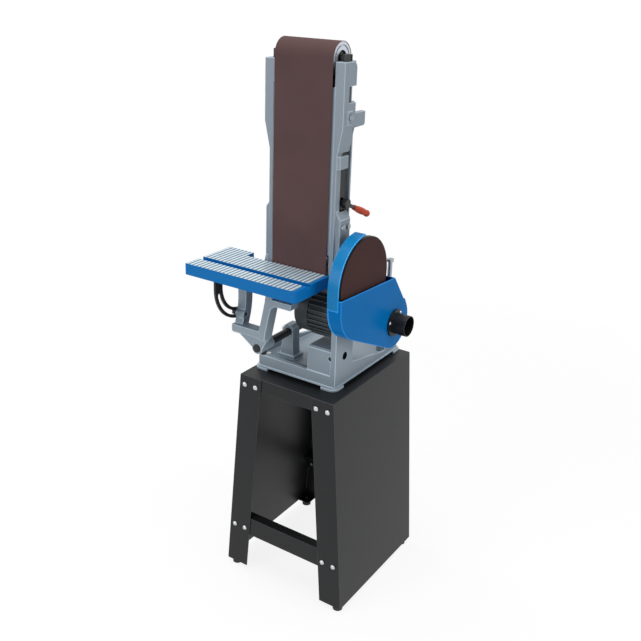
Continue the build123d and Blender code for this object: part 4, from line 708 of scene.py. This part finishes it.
class SanderDisc(bpy.types.Operator):
    """Finishes the disc, its housing, the guard and the dust port with its screws"""
    bl_idname = "sander.disc"
    bl_label = "Disc and guard"

    def execute(self, context):
        tone, sizes = context.scene.sander_colours, context.scene.sander_sizes
        # smooth even blue over pressed sheet, and a paler line along the folds as a painted highlight
        enamel = coated("blue_enamel_on_pressed_steel", tone.enamel, roughness=0.3,
                        peel=sizes.cast_skin, depth=GLOSS_DEPTH, cloud=0.04, shine=0.03)
        edge_highlight = coated("blue_enamel_painted_highlight_on_folds", scaled(tone.enamel, share=1.7), roughness=0.28,
                      peel=sizes.cast_skin, depth=GLOSS_DEPTH, cloud=0.04, shine=0.2)
        # a lighter copy of the blue enamel with a little more gloss, painted light for the housing's lit top, and
        # a paler copy on the rolled edge as a painted highlight where it catches the light
        gloss = coated("blue_enamel_painted_lighter_on_rim", tone.rim, roughness=0.26,
                       peel=2 * sizes.cast_skin, depth=GLOSS_DEPTH, cloud=0.04, shine=0.12)
        pale = coated("blue_enamel_painted_highlight_on_rim_edges", scaled(tone.rim, share=2.6), roughness=0.24,
                      peel=2 * sizes.cast_skin, depth=GLOSS_DEPTH, cloud=0.04, shine=0.4)
        dress(gloss, ("disc_housing",), sizes.sheet_edge, pale)
        dress(enamel, ("lower_guard",), sizes.guard_edge, edge_highlight)
        dress(bpy.data.materials["moulded_black_abs"], ("dust_port",), sizes.sheet_edge)
        dress(bpy.data.materials["blackened_steel"], ("disc_plate",))
        # dark brown grain in resin, matt
        dress(abrasive("aluminium_oxide_paper", tone.paper, sizes.grit), ("abrasive_disc",))
        zinc = bpy.data.materials["zinc_plated_steel"]
        low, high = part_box("dust_port")
        lying = Matrix.Rotation(math.pi / 2, 4, "Y")
        for n, angle in enumerate(SCREW_ANGLES):
            y = (low[1] + high[1]) / 2 + SCREW_CIRCLE * math.cos(math.radians(angle))
            z = (low[2] + high[2]) / 2 + SCREW_CIRCLE * math.sin(math.radians(angle))
            seat = Matrix.Translation((low[0] + FLANGE_THICK, y, z)) @ lying
            screw = turned("port_screw_%d" % (n + 1), SCREW_HEAD, SCREW_SIDES, seat, zinc)
            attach(screw, "frame")
        return {"FINISHED"}


class SanderArm(bpy.types.Operator):
    """Finishes the arm and the belt, winds the springs and moulds the lever's grip"""
    bl_idname = "sander.arm"
    bl_label = "Arm and belt"

    def execute(self, context):
        tone, sizes = context.scene.sander_colours, context.scene.sander_sizes
        # the same cast lumps under a slightly darker enamel, and a paler copy on the rounded edges as a painted
        # highlight
        enamel = coated("grey_enamel_on_cast_arm", tone.arm, roughness=0.42,
                        peel=sizes.cast_skin, depth=CAST_DEPTH, cloud=0.08, shine=0.3)
        edge_highlight = coated("grey_enamel_painted_highlight_on_arm_edges", scaled(tone.arm, share=1.65), roughness=0.38,
                      peel=sizes.cast_skin, depth=EDGE_DEPTH, cloud=0.05, shine=0.3)
        dress(enamel, ("arm_casting",), sizes.casting_edge, edge_highlight)
        # brown grain in resin on cloth, matt
        dress(abrasive("aluminium_oxide_cloth", tone.cloth, sizes.grit), ("sanding_belt",))
        dress(bpy.data.materials["turned_steel"],
              ("platen", "arm_bearing", "arm_lock_bolts", "tracking_screw"))
        dark = bpy.data.materials["blackened_steel"]
        dress(dark, ("slide_block_left", "slide_block_right", "arm_lock_handle",
                     "tension_springs", "tension_lever", "idler_axle", "idler_bearings",
                     "cam_shaft"))
        # springs stand on the arm and are pressed by the carriage, wound just inside the solids
        low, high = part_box("tension_springs")
        outer = (high[1] - low[1]) / 2
        middle = (low[1] + high[1]) / 2
        centres = ((low[0] + outer, middle), (high[0] - outer, middle))
        springs = wound("tension_springs_wound", centres, outer - 1.5 * SPRING_WIRE, SPRING_WIRE,
                        low[2], high[2], dark)
        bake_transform(springs)
        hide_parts("tension_springs")
        # satin orange with shallow flutes and a flared end
        plastic = moulded("moulded_orange_polypropylene", tone.grip, roughness=0.42, ior=1.49,
                          shine=0.16)
        dress(plastic, ("lever_grip",))
        joint = next(j for j in frame["joints"] if j["name"] == "lever_turn")
        lean = math.radians(LEVER_ANGLE)
        along = Vector((0, math.cos(lean), math.sin(lean)))
        turn = along.to_track_quat("Z", "X").to_matrix().to_4x4()
        seat = Matrix.Translation(Vector(joint["pos_m"]) + along * GRIP_START) @ turn
        rings = [(r * GRIP_RADIUS, s * GRIP_LONG, f, 0) for s, r, f in GRIP_SHAPE]
        grip = turned("lever_grip_moulding", rings, GRIP_SIDES, seat, plastic)
        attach(grip, "lever")
        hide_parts("lever_grip")
        return {"FINISHED"}


class SanderTable(bpy.types.Operator):
    """Finishes the table, its quadrant, yoke and rod"""
    bl_idname = "sander.table"
    bl_label = "Table"

    def execute(self, context):
        tone, sizes = context.scene.sander_colours, context.scene.sander_sizes
        low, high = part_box("table_top")
        # milled lands, painted darker towards the grooves between them as painted shade, and smooth enamel round
        # them
        milled = milled_table("milled_iron_with_blue_enamel", tone.iron, tone.enamel, sizes, low,
                              high)
        dress(milled, ("table_top",), sizes.table_edge)
        # the yoke takes the paler copy of the grey enamel on its rounded edges as a painted highlight
        dress(bpy.data.materials["grey_enamel_on_cast_iron"], ("yoke",), sizes.casting_edge,
              bpy.data.materials["grey_enamel_painted_highlight_on_edges"])
        dress(bpy.data.materials["blackened_steel"],
              ("quadrant", "table_rod", "tilt_lock", "yoke_clamp_screw"))
        dress(bpy.data.materials["turned_steel"], ("tilt_pins",))
        return {"FINISHED"}


class SanderPanel(bpy.types.Panel):
    """Lists the sander's groups in the sidebar"""
    bl_idname = "VIEW3D_PT_sander"
    bl_label = "Belt and disc sander"
    bl_space_type = "VIEW_3D"
    bl_region_type = "UI"
    bl_category = "Sander"

    def draw(self, context):
        for step in STEPS:
            self.layout.operator(step.bl_idname)
        for group in (context.scene.sander_colours, context.scene.sander_sizes):
            box = self.layout.box()
            for key in group.__annotations__:
                box.prop(group, key)


STEPS = (SanderStage, SanderStand, SanderBase, SanderMotor, SanderDisc, SanderArm, SanderTable)
CLASSES = (SanderColours, SanderSizes) + STEPS + (SanderPanel,)


def register():
    for cls in CLASSES:
        bpy.utils.register_class(cls)
    bpy.types.Scene.sander_colours = bpy.props.PointerProperty(type=SanderColours)
    bpy.types.Scene.sander_sizes = bpy.props.PointerProperty(type=SanderSizes)


def unregister():
    del bpy.types.Scene.sander_sizes
    del bpy.types.Scene.sander_colours
    for cls in reversed(CLASSES):
        bpy.utils.unregister_class(cls)


def main():
    register()
    bpy.ops.sander.stage()
    bpy.ops.sander.stand()
    bpy.ops.sander.base()
    bpy.ops.sander.motor()
    bpy.ops.sander.disc()
    bpy.ops.sander.arm()
    bpy.ops.sander.table()


if __name__ == "__main__":
    main()
